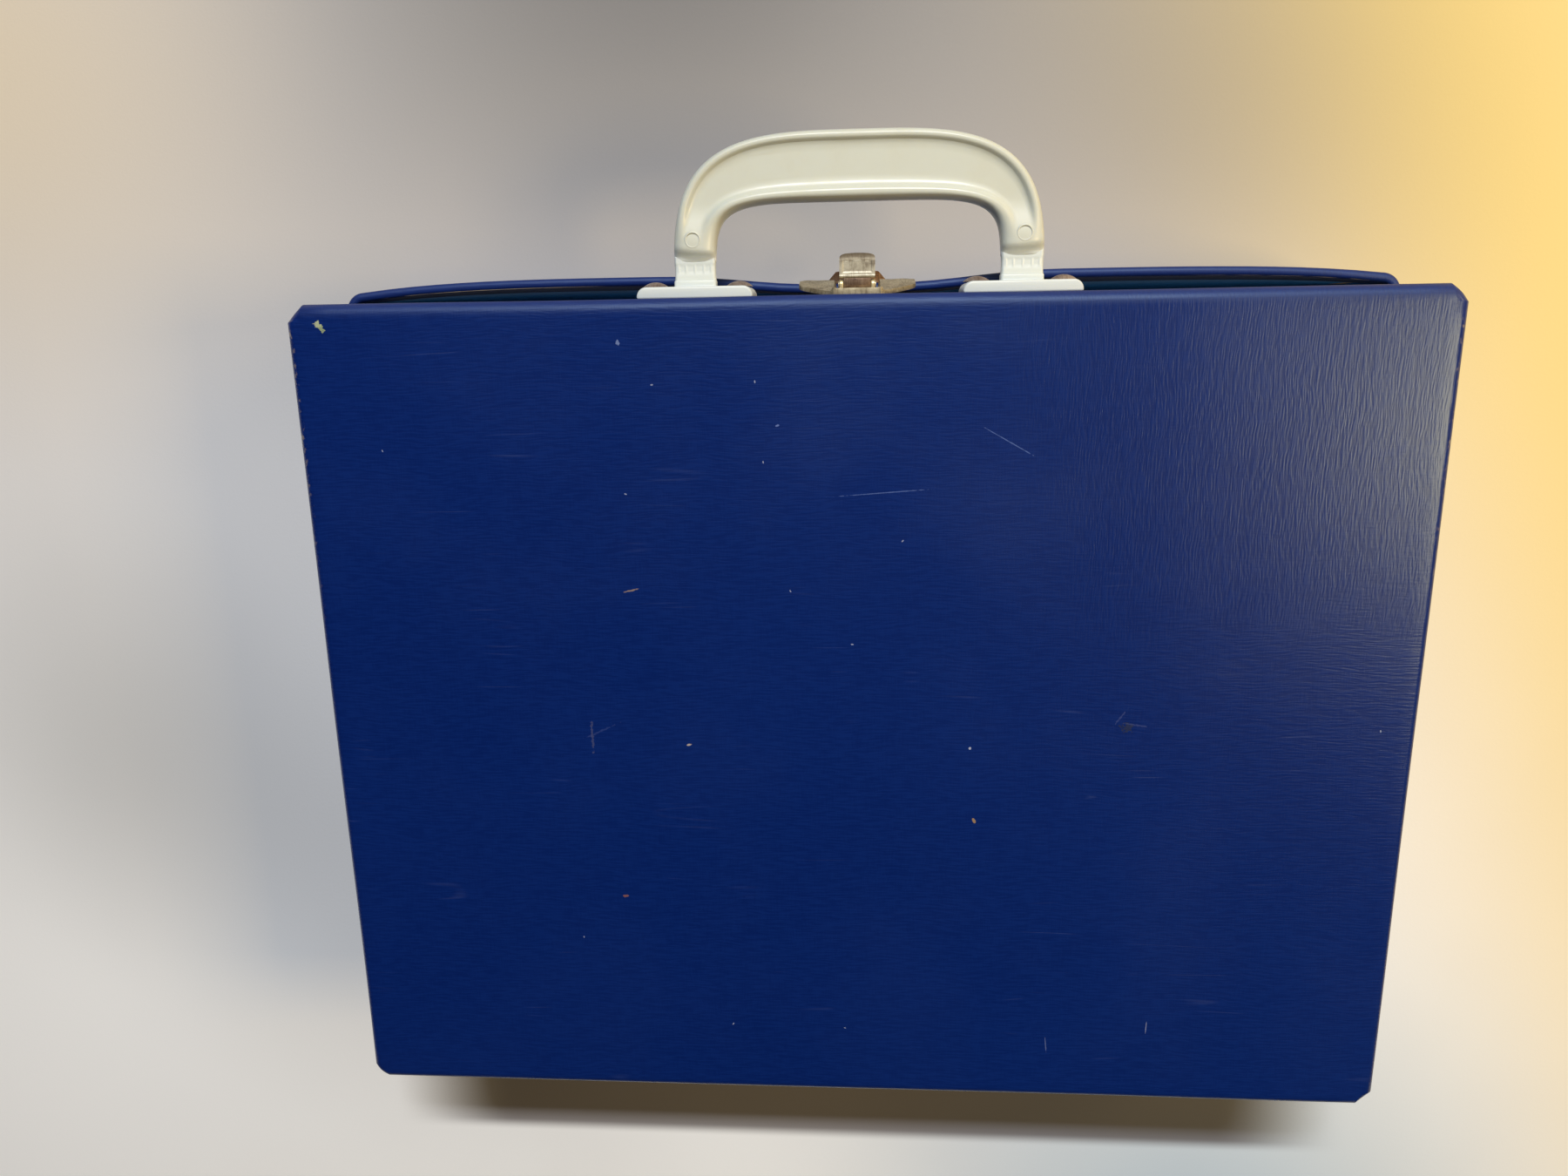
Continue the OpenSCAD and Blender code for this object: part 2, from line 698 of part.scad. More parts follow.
module clasp_plate() {
    color(NICKEL) translate([0, wall_y, 0]) difference() {
        union() {
            translate([-flat_x, 0, plate_back]) cube([2 * flat_x, plate_t, plate_w]);
            translate([-lip_l / 2, 0, plate_front - lip_w]) cube([lip_l, lip_rise, lip_w]);
            for (s = [-1, 1]) hull() {
                plate_rib(s * (flat_x + slab_l / 2), plate_front, 0);
                plate_rib(s * root_x, plate_front, wing_rise);
            }
            for (s = [-1, 1]) hull() {
                plate_rib(s * root_x, plate_front, wing_rise);
                plate_rib(s * (plate_l - slab_l) / 2, plate_back + tip_w, wing_rise);
            }
            for (s = [-1, 1]) translate([s * ear_x - ear_t / 2, 0, 0]) {
                translate([0, 0, pin_z - knuckle_r]) cube([ear_t, pin_h, 2 * knuckle_r]);
                translate([0, pin_h, pin_z]) rotate([0, 90, 0]) cylinder(r = knuckle_r, h = ear_t);
            }
        }
        translate([-plate_l, pin_h, pin_z]) rotate([0, 90, 0]) cylinder(r = pin_r, h = 2 * plate_l);
        wall_holes(0, clasp_rivet_spots, rivet_r);
    }
}

module clasp_rivets() {
    color(RUST) for (p = clasp_rivet_spots)
        rivet(p[0], p[1], wall_y, plate_t, wall_t + plate_t, clasp_head_r,
              clasp_head_h);
}

module clasp_backing() {
    color(NICKEL) difference() {
        translate([-clasp_rivet_x - backing_edge, wall_y - wall_t - plate_t,
                   pin_z - clasp_rivet_back - backing_edge])
            cube([2 * (clasp_rivet_x + backing_edge), plate_t, 2 * backing_edge]);
        wall_holes(wall_y, clasp_rivet_spots, rivet_r);
    }
}

module clasp_pin() {
    long = lever_w + ear_t / 2;
    color(NICKEL) translate([-long / 2, wall_y + pin_h, pin_z]) rotate([0, 90, 0])
        cylinder(r = pin_r, h = long);
}

// The lever in depth d behind the pin and height h above it. A narrow knuckle turns
// between the ears. Above them a strip of sheet of the full width stands up from a
// rolled edge and curls back over the keeper.
hook_h = overhang + keeper_h + hook_gap;
hook_d = pin_z - keeper_z + keeper_w / 2;
face_h = knuckle_r + 6 * fit;

module lever_knuckle() {
    circle(knuckle_r);
    translate([-knuckle_r, 0]) square([lever_t, face_h + roll_r]);
}

module lever_sheet() {
    bend = lever_bend;
    top = lever_top - pin_h;
    translate([-knuckle_r + roll_r / 2, face_h + roll_r]) circle(roll_r);
    translate([-knuckle_r, face_h + roll_r]) square([lever_t, top - bend - face_h - roll_r]);
    translate([-knuckle_r + bend, top - bend]) intersection() {
        difference() {
            circle(bend);
            circle(bend - lever_t);
        }
        translate([-bend, 0]) square([bend, bend]);
    }
    translate([-knuckle_r + bend, top - lever_t]) square([hook_d + knuckle_r - bend, lever_t]);
    translate([hook_d - lever_t, hook_h - pin_h]) square([lever_t, lever_top - hook_h]);
}

module clasp_lever() {
    color(NICKEL) translate([0, wall_y + pin_h, pin_z]) rotate([0, 90, 0]) difference() {
        union() {
            linear_extrude(lever_w, center = true) lever_sheet();
            linear_extrude(lever_w - 2 * (ear_t + fit), center = true) lever_knuckle();
        }
        cylinder(r = pin_r + pin_gap, h = 2 * lever_w, center = true);
    }
}

// A leaf spring lies on the plate and bears on the lever's knuckle from below.
module clasp_spring() {
    color(NICKEL) translate([-leaf_w / 2, wall_y + plate_t, pin_z - clasp_rivet_back - clasp_head_r])
        cube([leaf_w, leaf_t, clasp_rivet_back + clasp_head_r + knuckle_r]);
}

// Keeper: a lozenge of steel on the flap with pointed ends and a raised crest.
module keeper() {
    half_l = keeper_l / 2;
    lozenge = [[-half_l, 0], [-half_l / 3, -keeper_w / 2], [half_l / 3, -keeper_w / 2],
               [half_l, 0], [half_l / 3, keeper_w / 2], [-half_l / 3, keeper_w / 2]];
    color(RUST) difference() {
        translate([0, flap_y, keeper_z]) rotate([-90, 0, 0]) hull() {
            linear_extrude(keeper_edge) polygon(lozenge);
            linear_extrude(keeper_h) scale([keeper_crest, keeper_crest / 1.4]) polygon(lozenge);
        }
        wall_holes(flap_y + wall_t, keeper_spots, rivet_r);
    }
}

module keeper_rivet() {
    color(RUST) translate([0, flap_y, keeper_z]) shank(wall_t + washer_t, keeper_h);
}

module keeper_washer() {
    color(NICKEL) washer(0, keeper_z, flap_y);
}

base_panel_board();
base_wall_boards();
flap_board();
base_cover();
base_lining();
flap_cover();
flap_lining();
base_tray();
base_dividers();
keeper();
keeper_rivet();
keeper_washer();
hinge_strip();
lid_panel_board();
lid_wall_boards();
lid_cover();
lid_lining();
lid_tray();
lid_dividers();
handle_foot_left();
handle_foot_right();
handle_rivets();
handle_washers();
clasp_plate();
clasp_rivets();
clasp_backing();
clasp_spring();
clasp_pin();
clasp_lever();
handle_grip();
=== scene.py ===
"""Looks of a vinyl-covered clamshell carrying case for model cars.

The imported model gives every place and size. This script dresses it: grained vinyl
skins with soft folds, an ivory plastic handle on flexing straps, a worn metal clasp,
and a moulded cream tray of car bays in each half. X runs along the handle, Y from the
hinge to the handle, and Z from the lower half up to the upper half.
"""

from __future__ import annotations

import logging
import math
from dataclasses import dataclass
from enum import Enum

import bmesh
import bpy
import numpy as np
from mathutils import Matrix, Vector


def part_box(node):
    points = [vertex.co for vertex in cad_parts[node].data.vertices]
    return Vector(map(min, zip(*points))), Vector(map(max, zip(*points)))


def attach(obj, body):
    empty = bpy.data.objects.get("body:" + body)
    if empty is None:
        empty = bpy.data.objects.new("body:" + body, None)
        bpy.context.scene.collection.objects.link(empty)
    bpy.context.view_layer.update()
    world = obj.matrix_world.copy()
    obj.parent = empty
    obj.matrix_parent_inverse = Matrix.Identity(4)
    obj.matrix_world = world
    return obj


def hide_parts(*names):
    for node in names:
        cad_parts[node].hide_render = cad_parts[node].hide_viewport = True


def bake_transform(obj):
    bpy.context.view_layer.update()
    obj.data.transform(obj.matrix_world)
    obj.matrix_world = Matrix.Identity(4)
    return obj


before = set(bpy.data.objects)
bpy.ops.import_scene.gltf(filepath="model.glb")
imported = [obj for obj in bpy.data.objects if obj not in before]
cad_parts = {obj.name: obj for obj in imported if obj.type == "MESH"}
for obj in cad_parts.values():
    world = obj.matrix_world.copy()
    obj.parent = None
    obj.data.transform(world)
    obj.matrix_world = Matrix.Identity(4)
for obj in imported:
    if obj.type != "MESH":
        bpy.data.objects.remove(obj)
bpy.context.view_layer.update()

LOG = logging.getLogger("case")
MM = 0.001
CASE_HALF_W = 165 * MM
CASE_DEPTH = 80 * MM
MERGE_DISTANCE = 1e-6

Piece = bpy.types.Object
Socket = bpy.types.NodeSocket


class Body(Enum):
    """The rigid bodies that the pieces ride on."""

    BASE = "base"
    LID = "lid"
    HANDLE = "handle"
    CLASP = "clasp"


class Side(Enum):
    """Left or right, as seen with the handle at the top."""

    LEFT = -1
    RIGHT = 1


# Mesh building


def smoothstep(t: np.ndarray) -> np.ndarray:
    """Returns 3t^2 - 2t^3 of t held between 0 and 1."""
    c = np.clip(t, 0.0, 1.0)
    return c * c * (3.0 - 2.0 * c)


def points(*coordinates: object) -> np.ndarray:
    """Returns points from one array or number for each coordinate, broadcast together."""
    return np.stack(np.broadcast_arrays(*coordinates), -1)


def arc(centre: tuple, radius: float, start: float, stop: float, count: int) -> np.ndarray:
    """Returns count points centre + radius (cos, sin), for angles from start to stop degrees."""
    turn = np.radians(np.linspace(start, stop, count))
    return points(centre[0] + radius * np.cos(turn), centre[1] + radius * np.sin(turn))


def grid_faces(rows: int, cols: int, wrap_rows: bool, wrap_cols: bool) -> np.ndarray:
    """Makes the quads of a grid of points numbered row by row.

    Args:
        rows: number of rows.
        cols: number of points in a row.
        wrap_rows: whether the last row joins the first.
        wrap_cols: whether the last point of a row joins its first.

    Returns:
        An array of quads, one row of four indices each.
    """
    i = np.arange(rows if wrap_rows else rows - 1)[:, None]
    j = np.arange(cols if wrap_cols else cols - 1)
    below, after = (i + 1) % rows, (j + 1) % cols
    corners = points(i * cols + j, i * cols + after, below * cols + after, below * cols + j)
    return corners.reshape(-1, 4)


def make_mesh(name: str, places: np.ndarray, faces: list) -> Piece:
    """Makes a smooth-shaded object at the origin.

    Args:
        name: the piece's name.
        places: array of points, in metres.
        faces: lists of point indices.

    Returns:
        The new object, linked to the scene.
    """
    mesh = bpy.data.meshes.new(name)
    mesh.from_pydata(np.asarray(places, float).reshape(-1, 3).tolist(), [], faces)
    mesh.polygons.foreach_set("use_smooth", np.full(len(mesh.polygons), True))
    mesh.update()
    piece = bpy.data.objects.new(name, mesh)
    bpy.context.scene.collection.objects.link(piece)
    return piece


def tidy_mesh(piece: Piece, fill: bool = False) -> Piece:
    """Merges doubled points and turns all faces outwards.

    Args:
        piece: the object to tidy.
        fill: whether open ends are closed with a face each.

    Returns:
        The same object.
    """
    work = bmesh.new()
    work.from_mesh(piece.data)
    bmesh.ops.remove_doubles(work, verts=work.verts, dist=MERGE_DISTANCE)
    if fill:
        bmesh.ops.holes_fill(work, edges=[e for e in work.edges if e.is_boundary], sides=0)
    bmesh.ops.recalc_face_normals(work, faces=work.faces)
    work.to_mesh(piece.data)
    work.free()
    piece.data.update()
    return piece


def surface(name: str, grid: np.ndarray, wrap_rows: bool = False, wrap_cols: bool = True,
            caps: bool = False, fill: bool = False) -> Piece:
    """Makes a piece from a grid of points, shape (rows, cols, 3), in metres.

    Args:
        name: the piece's name.
        grid: the points.
        wrap_rows: whether the last row joins the first.
        wrap_cols: whether a row's last point joins its first.
        caps: whether the first and last rows are closed with a face each.
        fill: whether other open ends are closed with a face each.

    Returns:
        The new object, with outward faces.
    """
    rows, cols = grid.shape[:2]
    faces = grid_faces(rows, cols, wrap_rows, wrap_cols).tolist()
    if caps:
        faces.append(list(range(cols)))
        faces.append(list(range((rows - 1) * cols, rows * cols)))
    return tidy_mesh(make_mesh(name, grid, faces), fill)


def prism(name: str, outline: np.ndarray, xs: tuple | np.ndarray) -> Piece:
    """Carries a closed outline straight along X.

    Args:
        name: the piece's name.
        outline: (y, z) points in metres, in order round the outline.
        xs: the places along X of the rows of points.

    Returns:
        The closed piece.
    """
    return surface(name, points(np.asarray(xs)[:, None], outline[:, 0], outline[:, 1]), caps=True)


def bevel(piece: Piece, width: float, segments: int = 2, angle: float = 35.0) -> None:
    """Rounds a piece's sharp edges.

    Args:
        piece: the object.
        width: the round's width in metres.
        segments: faces across the round.
        angle: edges sharper than this many degrees are rounded.
    """
    mod = piece.modifiers.new("Rounded edges", "BEVEL")
    mod.width = width
    mod.segments = segments
    mod.limit_method = "ANGLE"
    mod.angle_limit = math.radians(angle)
    mod.harden_normals = False


def resample(path: np.ndarray, count: int) -> np.ndarray:
    """Spaces points evenly along a path.

    Args:
        path: points of the path, shape (n, k).
        count: how many points to return.

    Returns:
        Evenly spaced points, shape (count, k).
    """
    steps = np.linalg.norm(np.diff(path, axis=0), axis=1)
    length = np.concatenate([[0.0], np.cumsum(steps)])
    wanted = np.linspace(0.0, length[-1], count)
    return points(*(np.interp(wanted, length, column) for column in path.T))


# Material building


class NodeTree:
    """A short way to add and join shader nodes."""

    def __init__(self, tree: bpy.types.NodeTree) -> None:
        """Starts on the node tree that is to be filled."""
        self.tree = tree

    def add(self, kind: str, **settings: object) -> bpy.types.Node:
        """Adds a node.

        Args:
            kind: the node's type name without its ShaderNode prefix.
            settings: properties to set. A name that ends in _in is joined to a socket or set to
                a value at the input of that name, with underscores read as spaces, or of that
                number, as in i0_in.

        Returns:
            The new node.
        """
        node = self.tree.nodes.new("ShaderNode" + kind)
        for key, value in settings.items():
            if key.endswith("_in"):
                word = key[:-3]
                numbered = word[0] == "i" and word[1:].isdigit()
                self.join(value, node.inputs[int(word[1:]) if numbered else word.replace("_", " ")])
            else:
                setattr(node, key, value)
        return node

    def join(self, value: object, socket: Socket) -> None:
        """Joins value to an input, or sets it as the input's default.

        Args:
            value: a socket, or a plain value.
            socket: the input.
        """
        if isinstance(value, Socket):
            self.tree.links.new(value, socket)
        else:
            socket.default_value = value

    def math(self, operation: str, a: object, b: object = 0.0) -> Socket:
        """Returns the output of a Math node of a and b."""
        return self.add("Math", operation=operation, i0_in=a, i1_in=b).outputs[0]

    def times(self, a: object, b: object) -> Socket:
        """Returns a times b."""
        return self.math("MULTIPLY", a, b)

    def minus(self, a: object, b: object) -> Socket:
        """Returns a less b."""
        return self.math("SUBTRACT", a, b)

    def total(self, start: object, *terms: tuple) -> Socket:
        """Adds shares of values to a value.

        Args:
            start: the first value.
            terms: (value, share) pairs.

        Returns:
            The start plus the value times the share of every pair.
        """
        for value, share in terms:
            start = self.math("ADD", start, self.times(value, share))
        return start

    def vector(self, operation: str, **settings: object) -> bpy.types.Node:
        """Returns a Vector Math node with the given inputs."""
        return self.add("VectorMath", operation=operation, **settings)

    def over(self, base: object, tint: object, mask: object, share: float = 1.0) -> Socket:
        """Lays a tint over a colour.

        Args:
            base: the colour below.
            tint: the colour on top.
            mask: where the tint lies.
            share: how much of it is laid there.

        Returns:
            The mixed colour.
        """
        amount = mask if share == 1.0 else self.times(mask, share)
        return self.add("Mix", data_type="RGBA", i0_in=amount, i6_in=base, i7_in=tint).outputs[2]

    def ramp(self, value: object, low: float, high: float) -> Socket:
        """Returns value mapped smoothly from low..high to 0..1."""
        return self.add("MapRange", interpolation_type="SMOOTHSTEP", Value_in=value,
                        From_Min_in=low, From_Max_in=high).outputs[0]

    def fall(self, value: object, low: float, high: float) -> Socket:
        """Returns value mapped smoothly from low..high to 1..0."""
        return self.minus(1.0, self.ramp(value, low, high))

    def noise(self, vector: object, scale: float, detail: float = 3.0,
              rough: float = 0.55) -> Socket:
        """Returns the value of a Noise texture at vector."""
        return self.add("TexNoise", Vector_in=vector, Scale_in=scale, Detail_in=detail,
                        Roughness_in=rough).outputs[0]

    def streaks(self, vector: object, scale: tuple, detail: float, rough: float = 0.55) -> Socket:
        """Returns a noise with a scale of its own along each axis."""
        stretched = self.add("Mapping", Vector_in=vector, Scale_in=scale).outputs[0]
        return self.noise(stretched, 1.0, detail, rough)

    def bump(self, shader: bpy.types.Node, height: object, strength: float,
             distance: float) -> None:
        """Joins a Bump node to a shader's normal.

        Args:
            shader: the shader.
            height: the surface's height.
            strength: how strongly it tells.
            distance: the height's full reach, in metres.
        """
        node = self.add("Bump", Height_in=height, Strength_in=strength, Distance_in=distance)
        self.join(node.outputs[0], shader.inputs["Normal"])


def colour(r: float, g: float, b: float) -> tuple:
    """Turns an sRGB colour of 0 to 255 parts into a linear one.

    Args:
        r: red.
        g: green.
        b: blue.

    Returns:
        Linear red, green, blue and alpha 1.
    """
    parts = np.array([r, g, b], float) / 255.0
    linear = np.where(parts <= 0.04045, parts / 12.92, ((parts + 0.055) / 1.055) ** 2.4)
    return (*linear.tolist(), 1.0)


class EffectGroup:
    """A shader node group with named inputs and outputs, built once."""

    name = "Effect"
    inputs: dict = {}
    outputs: tuple = ()

    @classmethod
    def tree(cls) -> bpy.types.NodeTree:
        """Builds the group's tree the first time.

        Returns:
            The tree.
        """
        if cls.name in bpy.data.node_groups:
            return bpy.data.node_groups[cls.name]
        tree = bpy.data.node_groups.new(cls.name, "ShaderNodeTree")
        for label, value in cls.inputs.items():
            kind = "NodeSocketFloat" if isinstance(value, float) else "NodeSocketVector"
            socket = tree.interface.new_socket(label, in_out="INPUT", socket_type=kind)
            if value is not None:
                socket.default_value = value
        for label in cls.outputs:
            tree.interface.new_socket(label, in_out="OUTPUT", socket_type="NodeSocketFloat")
        given = tree.nodes.new("NodeGroupInput")
        result = tree.nodes.new("NodeGroupOutput")
        cls.fill(NodeTree(tree), given.outputs, result.inputs)
        return tree

    @classmethod
    def fill(cls, nodes: NodeTree, given: object, result: object) -> None:
        """Joins the group's nodes between its inputs and outputs.

        Args:
            nodes: the group's tree.
            given: the group's inputs, by name.
            result: the group's outputs, by name.
        """
        raise NotImplementedError

    @classmethod
    def place(cls, nodes: NodeTree, **values: object) -> object:
        """Places the group in a material.

        Args:
            nodes: the material's tree.
            values: input values or sockets, by name.

        Returns:
            The group node's outputs, by name.
        """
        node = nodes.tree.nodes.new("ShaderNodeGroup")
        node.node_tree = cls.tree()
        for key, value in values.items():
            nodes.join(value, node.inputs[key])
        return node.outputs


class CreasedGrain(EffectGroup):
    """Fine wavy creases of pressed vinyl, which run across the case or stand upright."""

    name = "Creased grain"
    inputs = {"Vector": None, "Upright": 0.0}
    outputs = ("Height", "Fine", "Broad")
    warps = ((30.0, 3.0 * MM), (150.0, 0.6 * MM))
    across_scale = (190.0, 1850.0, 1600.0)
    upright_scale = (2200.0, 220.0, 1600.0)

    @classmethod
    def fill(cls, nodes: NodeTree, given: object, result: object) -> None:
        """Bends the place by two slow noises, stretches two fine noises along X and along Y, and
        turns from one to the other where Upright plus a slow noise passes a half. A quarter of
        the other direction's lines stays everywhere, as in linen.

        Args:
            nodes: the group's tree.
            given: the group's inputs, by name.
            result: the group's outputs, by name.
        """
        place = bent = given["Vector"]
        for scale, reach in cls.warps:
            warp = nodes.add("TexNoise", Vector_in=place, Scale_in=scale, Detail_in=1.0)
            bent = nodes.vector("MULTIPLY_ADD", i0_in=warp.outputs["Color"],
                                i1_in=(reach, reach, reach), i2_in=bent).outputs[0]
        across = nodes.streaks(bent, cls.across_scale, 1.0, 0.4)
        upright = nodes.streaks(bent, cls.upright_scale, 1.0, 0.4)
        slow = nodes.minus(nodes.noise(place, 26.0, 2.0), 0.5)
        turned = nodes.ramp(nodes.total(given["Upright"], (slow, 1.1)), 0.35, 0.65)
        height = nodes.add("Mix", data_type="FLOAT", i0_in=nodes.total(0.25, (turned, 0.5)),
                           i2_in=across, i3_in=upright)
        nodes.join(nodes.ramp(height.outputs[0], 0.32, 0.68), result["Height"])
        nodes.join(nodes.noise(place, 3200.0, 1.0), result["Fine"])
        nodes.join(nodes.ramp(nodes.noise(place, 10.0), 0.3, 0.7), result["Broad"])


class RubbedSpots(EffectGroup):
    """Scattered small specks and hair scratches, as masks."""

    name = "Rubbed spots"
    inputs = {"Vector": None, "Specks": 0.06, "Scratches": 0.5}
    outputs = ("Speck", "Scratch", "Smudge")
    angles = (0.55, 1.25, 2.45)

    @classmethod
    def fill(cls, nodes: NodeTree, given: object, result: object) -> None:
        """Finds specks in a Voronoi distance, and scratches where a noise that is stretched
        along one of three directions passes through its middle value inside a patch.

        Args:
            nodes: the group's tree.
            given: the group's inputs, by name.
            result: the group's outputs, by name.
        """
        place = given["Vector"]
        cells = nodes.add("TexVoronoi", Vector_in=place, Scale_in=60.0)
        size = nodes.times(nodes.ramp(cells.outputs["Color"], 0.78, 1.0), given["Specks"])
        inside = nodes.minus(size, cells.outputs["Distance"])
        nodes.join(nodes.ramp(inside, 0.0, 0.01), result["Speck"])
        marks = 0.0
        for angle in cls.angles:
            turned = nodes.add("Mapping", Vector_in=place, Rotation_in=(0.0, 0.0, angle),
                               Scale_in=(5.0, 130.0, 5.0)).outputs[0]
            line = nodes.math("ABSOLUTE", nodes.minus(nodes.noise(turned, 1.0, 0.0), 0.5))
            patch = nodes.ramp(nodes.noise(place, 22.0 + 9.0 * angle, 1.0), 0.64, 0.76)
            marks = nodes.math("MAXIMUM", marks, nodes.times(nodes.fall(line, 0.0, 0.012), patch))
        nodes.join(nodes.times(marks, given["Scratches"]), result["Scratch"])
        nodes.join(nodes.ramp(nodes.noise(place, 18.0, 4.0), 0.35, 0.75), result["Smudge"])


class PaintedMark(EffectGroup):
    """One chip or rubbed mark at a place: an ellipse with a ragged edge, as a mask."""

    name = "Painted mark"
    inputs = {"Vector": None, "Centre": (0.0, 0.0, 0.0), "Turn": (0.0, 0.0, 0.0),
              "Size": (0.002, 0.001, 0.01), "Ragged": 0.5}
    outputs = ("Mask",)

    @classmethod
    def fill(cls, nodes: NodeTree, given: object, result: object) -> None:
        """Measures the distance from the centre in units of the size, bent by noise.

        Args:
            nodes: the group's tree.
            given: the group's inputs, by name.
            result: the group's outputs, by name.
        """
        away = nodes.vector("SUBTRACT", i0_in=given["Vector"], i1_in=given["Centre"]).outputs[0]
        turned = nodes.add("VectorRotate", rotation_type="EULER_XYZ", Vector_in=away,
                           Rotation_in=given["Turn"]).outputs[0]
        units = nodes.vector("DIVIDE", i0_in=turned, i1_in=given["Size"]).outputs[0]
        far = nodes.vector("LENGTH", i0_in=units).outputs["Value"]
        ragged = nodes.times(nodes.minus(nodes.noise(given["Vector"], 900.0), 0.5), given["Ragged"])
        nodes.join(nodes.fall(nodes.total(far, (ragged, 2.0)), 0.75, 1.0), result["Mask"])


class WornMetal(EffectGroup):
    """Tarnish, rust bloom and fine rubbing marks, as masks."""

    name = "Worn metal"
    inputs = {"Vector": None, "Tarnish": 0.5, "Rust": 0.3}
    outputs = ("Tarnish", "Rust", "Rub", "Height")

    @classmethod
    def fill(cls, nodes: NodeTree, given: object, result: object) -> None:
        """Lays coarse noise for tarnish, finer noise for rust and stretched noise for rubbing.

        Args:
            nodes: the group's tree.
            given: the group's inputs, by name.
            result: the group's outputs, by name.
        """
        place = given["Vector"]
        broad = nodes.noise(place, 260.0, 5.0, 0.65)
        fine = nodes.noise(place, 900.0, 5.0, 0.7)
        rust = nodes.ramp(nodes.total(given["Rust"], (fine, broad)), 0.5, 0.72)
        tarnish = nodes.math("ADD", broad, given["Tarnish"])
        nodes.join(nodes.ramp(tarnish, 0.75, 1.2), result["Tarnish"])
        nodes.join(rust, result["Rust"])
        nodes.join(nodes.streaks(place, (2300.0, 320.0, 520.0), 4.0, 0.6), result["Rub"])
        nodes.join(nodes.total(fine, (rust, 0.6)), result["Height"])


@dataclass(frozen=True)
class Finish:
    """A surface finish that builds one material. Its shares say how far each effect goes."""

    name: str

    def material(self) -> bpy.types.Material:
        """Builds the material the first time.

        Returns:
            The material.
        """
        known = bpy.data.materials.get(self.name)
        if known:
            return known
        made = bpy.data.materials.new(self.name)
        made.use_nodes = True
        nodes = NodeTree(made.node_tree)
        place = nodes.add("TexCoord").outputs["Object"]
        self.dress(nodes, made.node_tree.nodes["Principled BSDF"], place)
        return made

    def dress(self, nodes: NodeTree, shader: bpy.types.Node, place: Socket) -> None:
        """Joins the finish's nodes to the shader.

        Args:
            nodes: the material's tree.
            shader: the material's shader.
            place: the place on the piece.
        """
        raise NotImplementedError

    def put_on(self, piece: Piece) -> None:
        """Dresses a piece or a CAD node with this finish.

        Args:
            piece: the object whose material slots are set.
        """
        material = self.material()
        if not piece.material_slots:
            piece.data.materials.append(material)
        for slot in piece.material_slots:
            slot.link = "OBJECT"
            slot.material = material


@dataclass(frozen=True)
class Mark:
    """A rubbed or chipped mark on the upper panel, in millimetres and degrees."""

    x: float
    y: float
    long: float
    wide: float
    turn: float
    tint: tuple
    strength: float
    ragged: float = 0.6
    reach: float = 20.0

    def mask(self, nodes: NodeTree, place: Socket) -> Socket:
        """Places the mark in a material.

        Args:
            nodes: the material's tree.
            place: the place on the piece.

        Returns:
            The mark's mask.
        """
        size = (self.long * MM / 2, self.wide * MM / 2, self.reach * MM)
        return PaintedMark.place(nodes, Vector=place, Centre=(self.x * MM, self.y * MM, CASE_DEPTH),
                                 Turn=(0.0, 0.0, math.radians(-self.turn)), Size=size,
                                 Ragged=self.ragged)["Mask"]


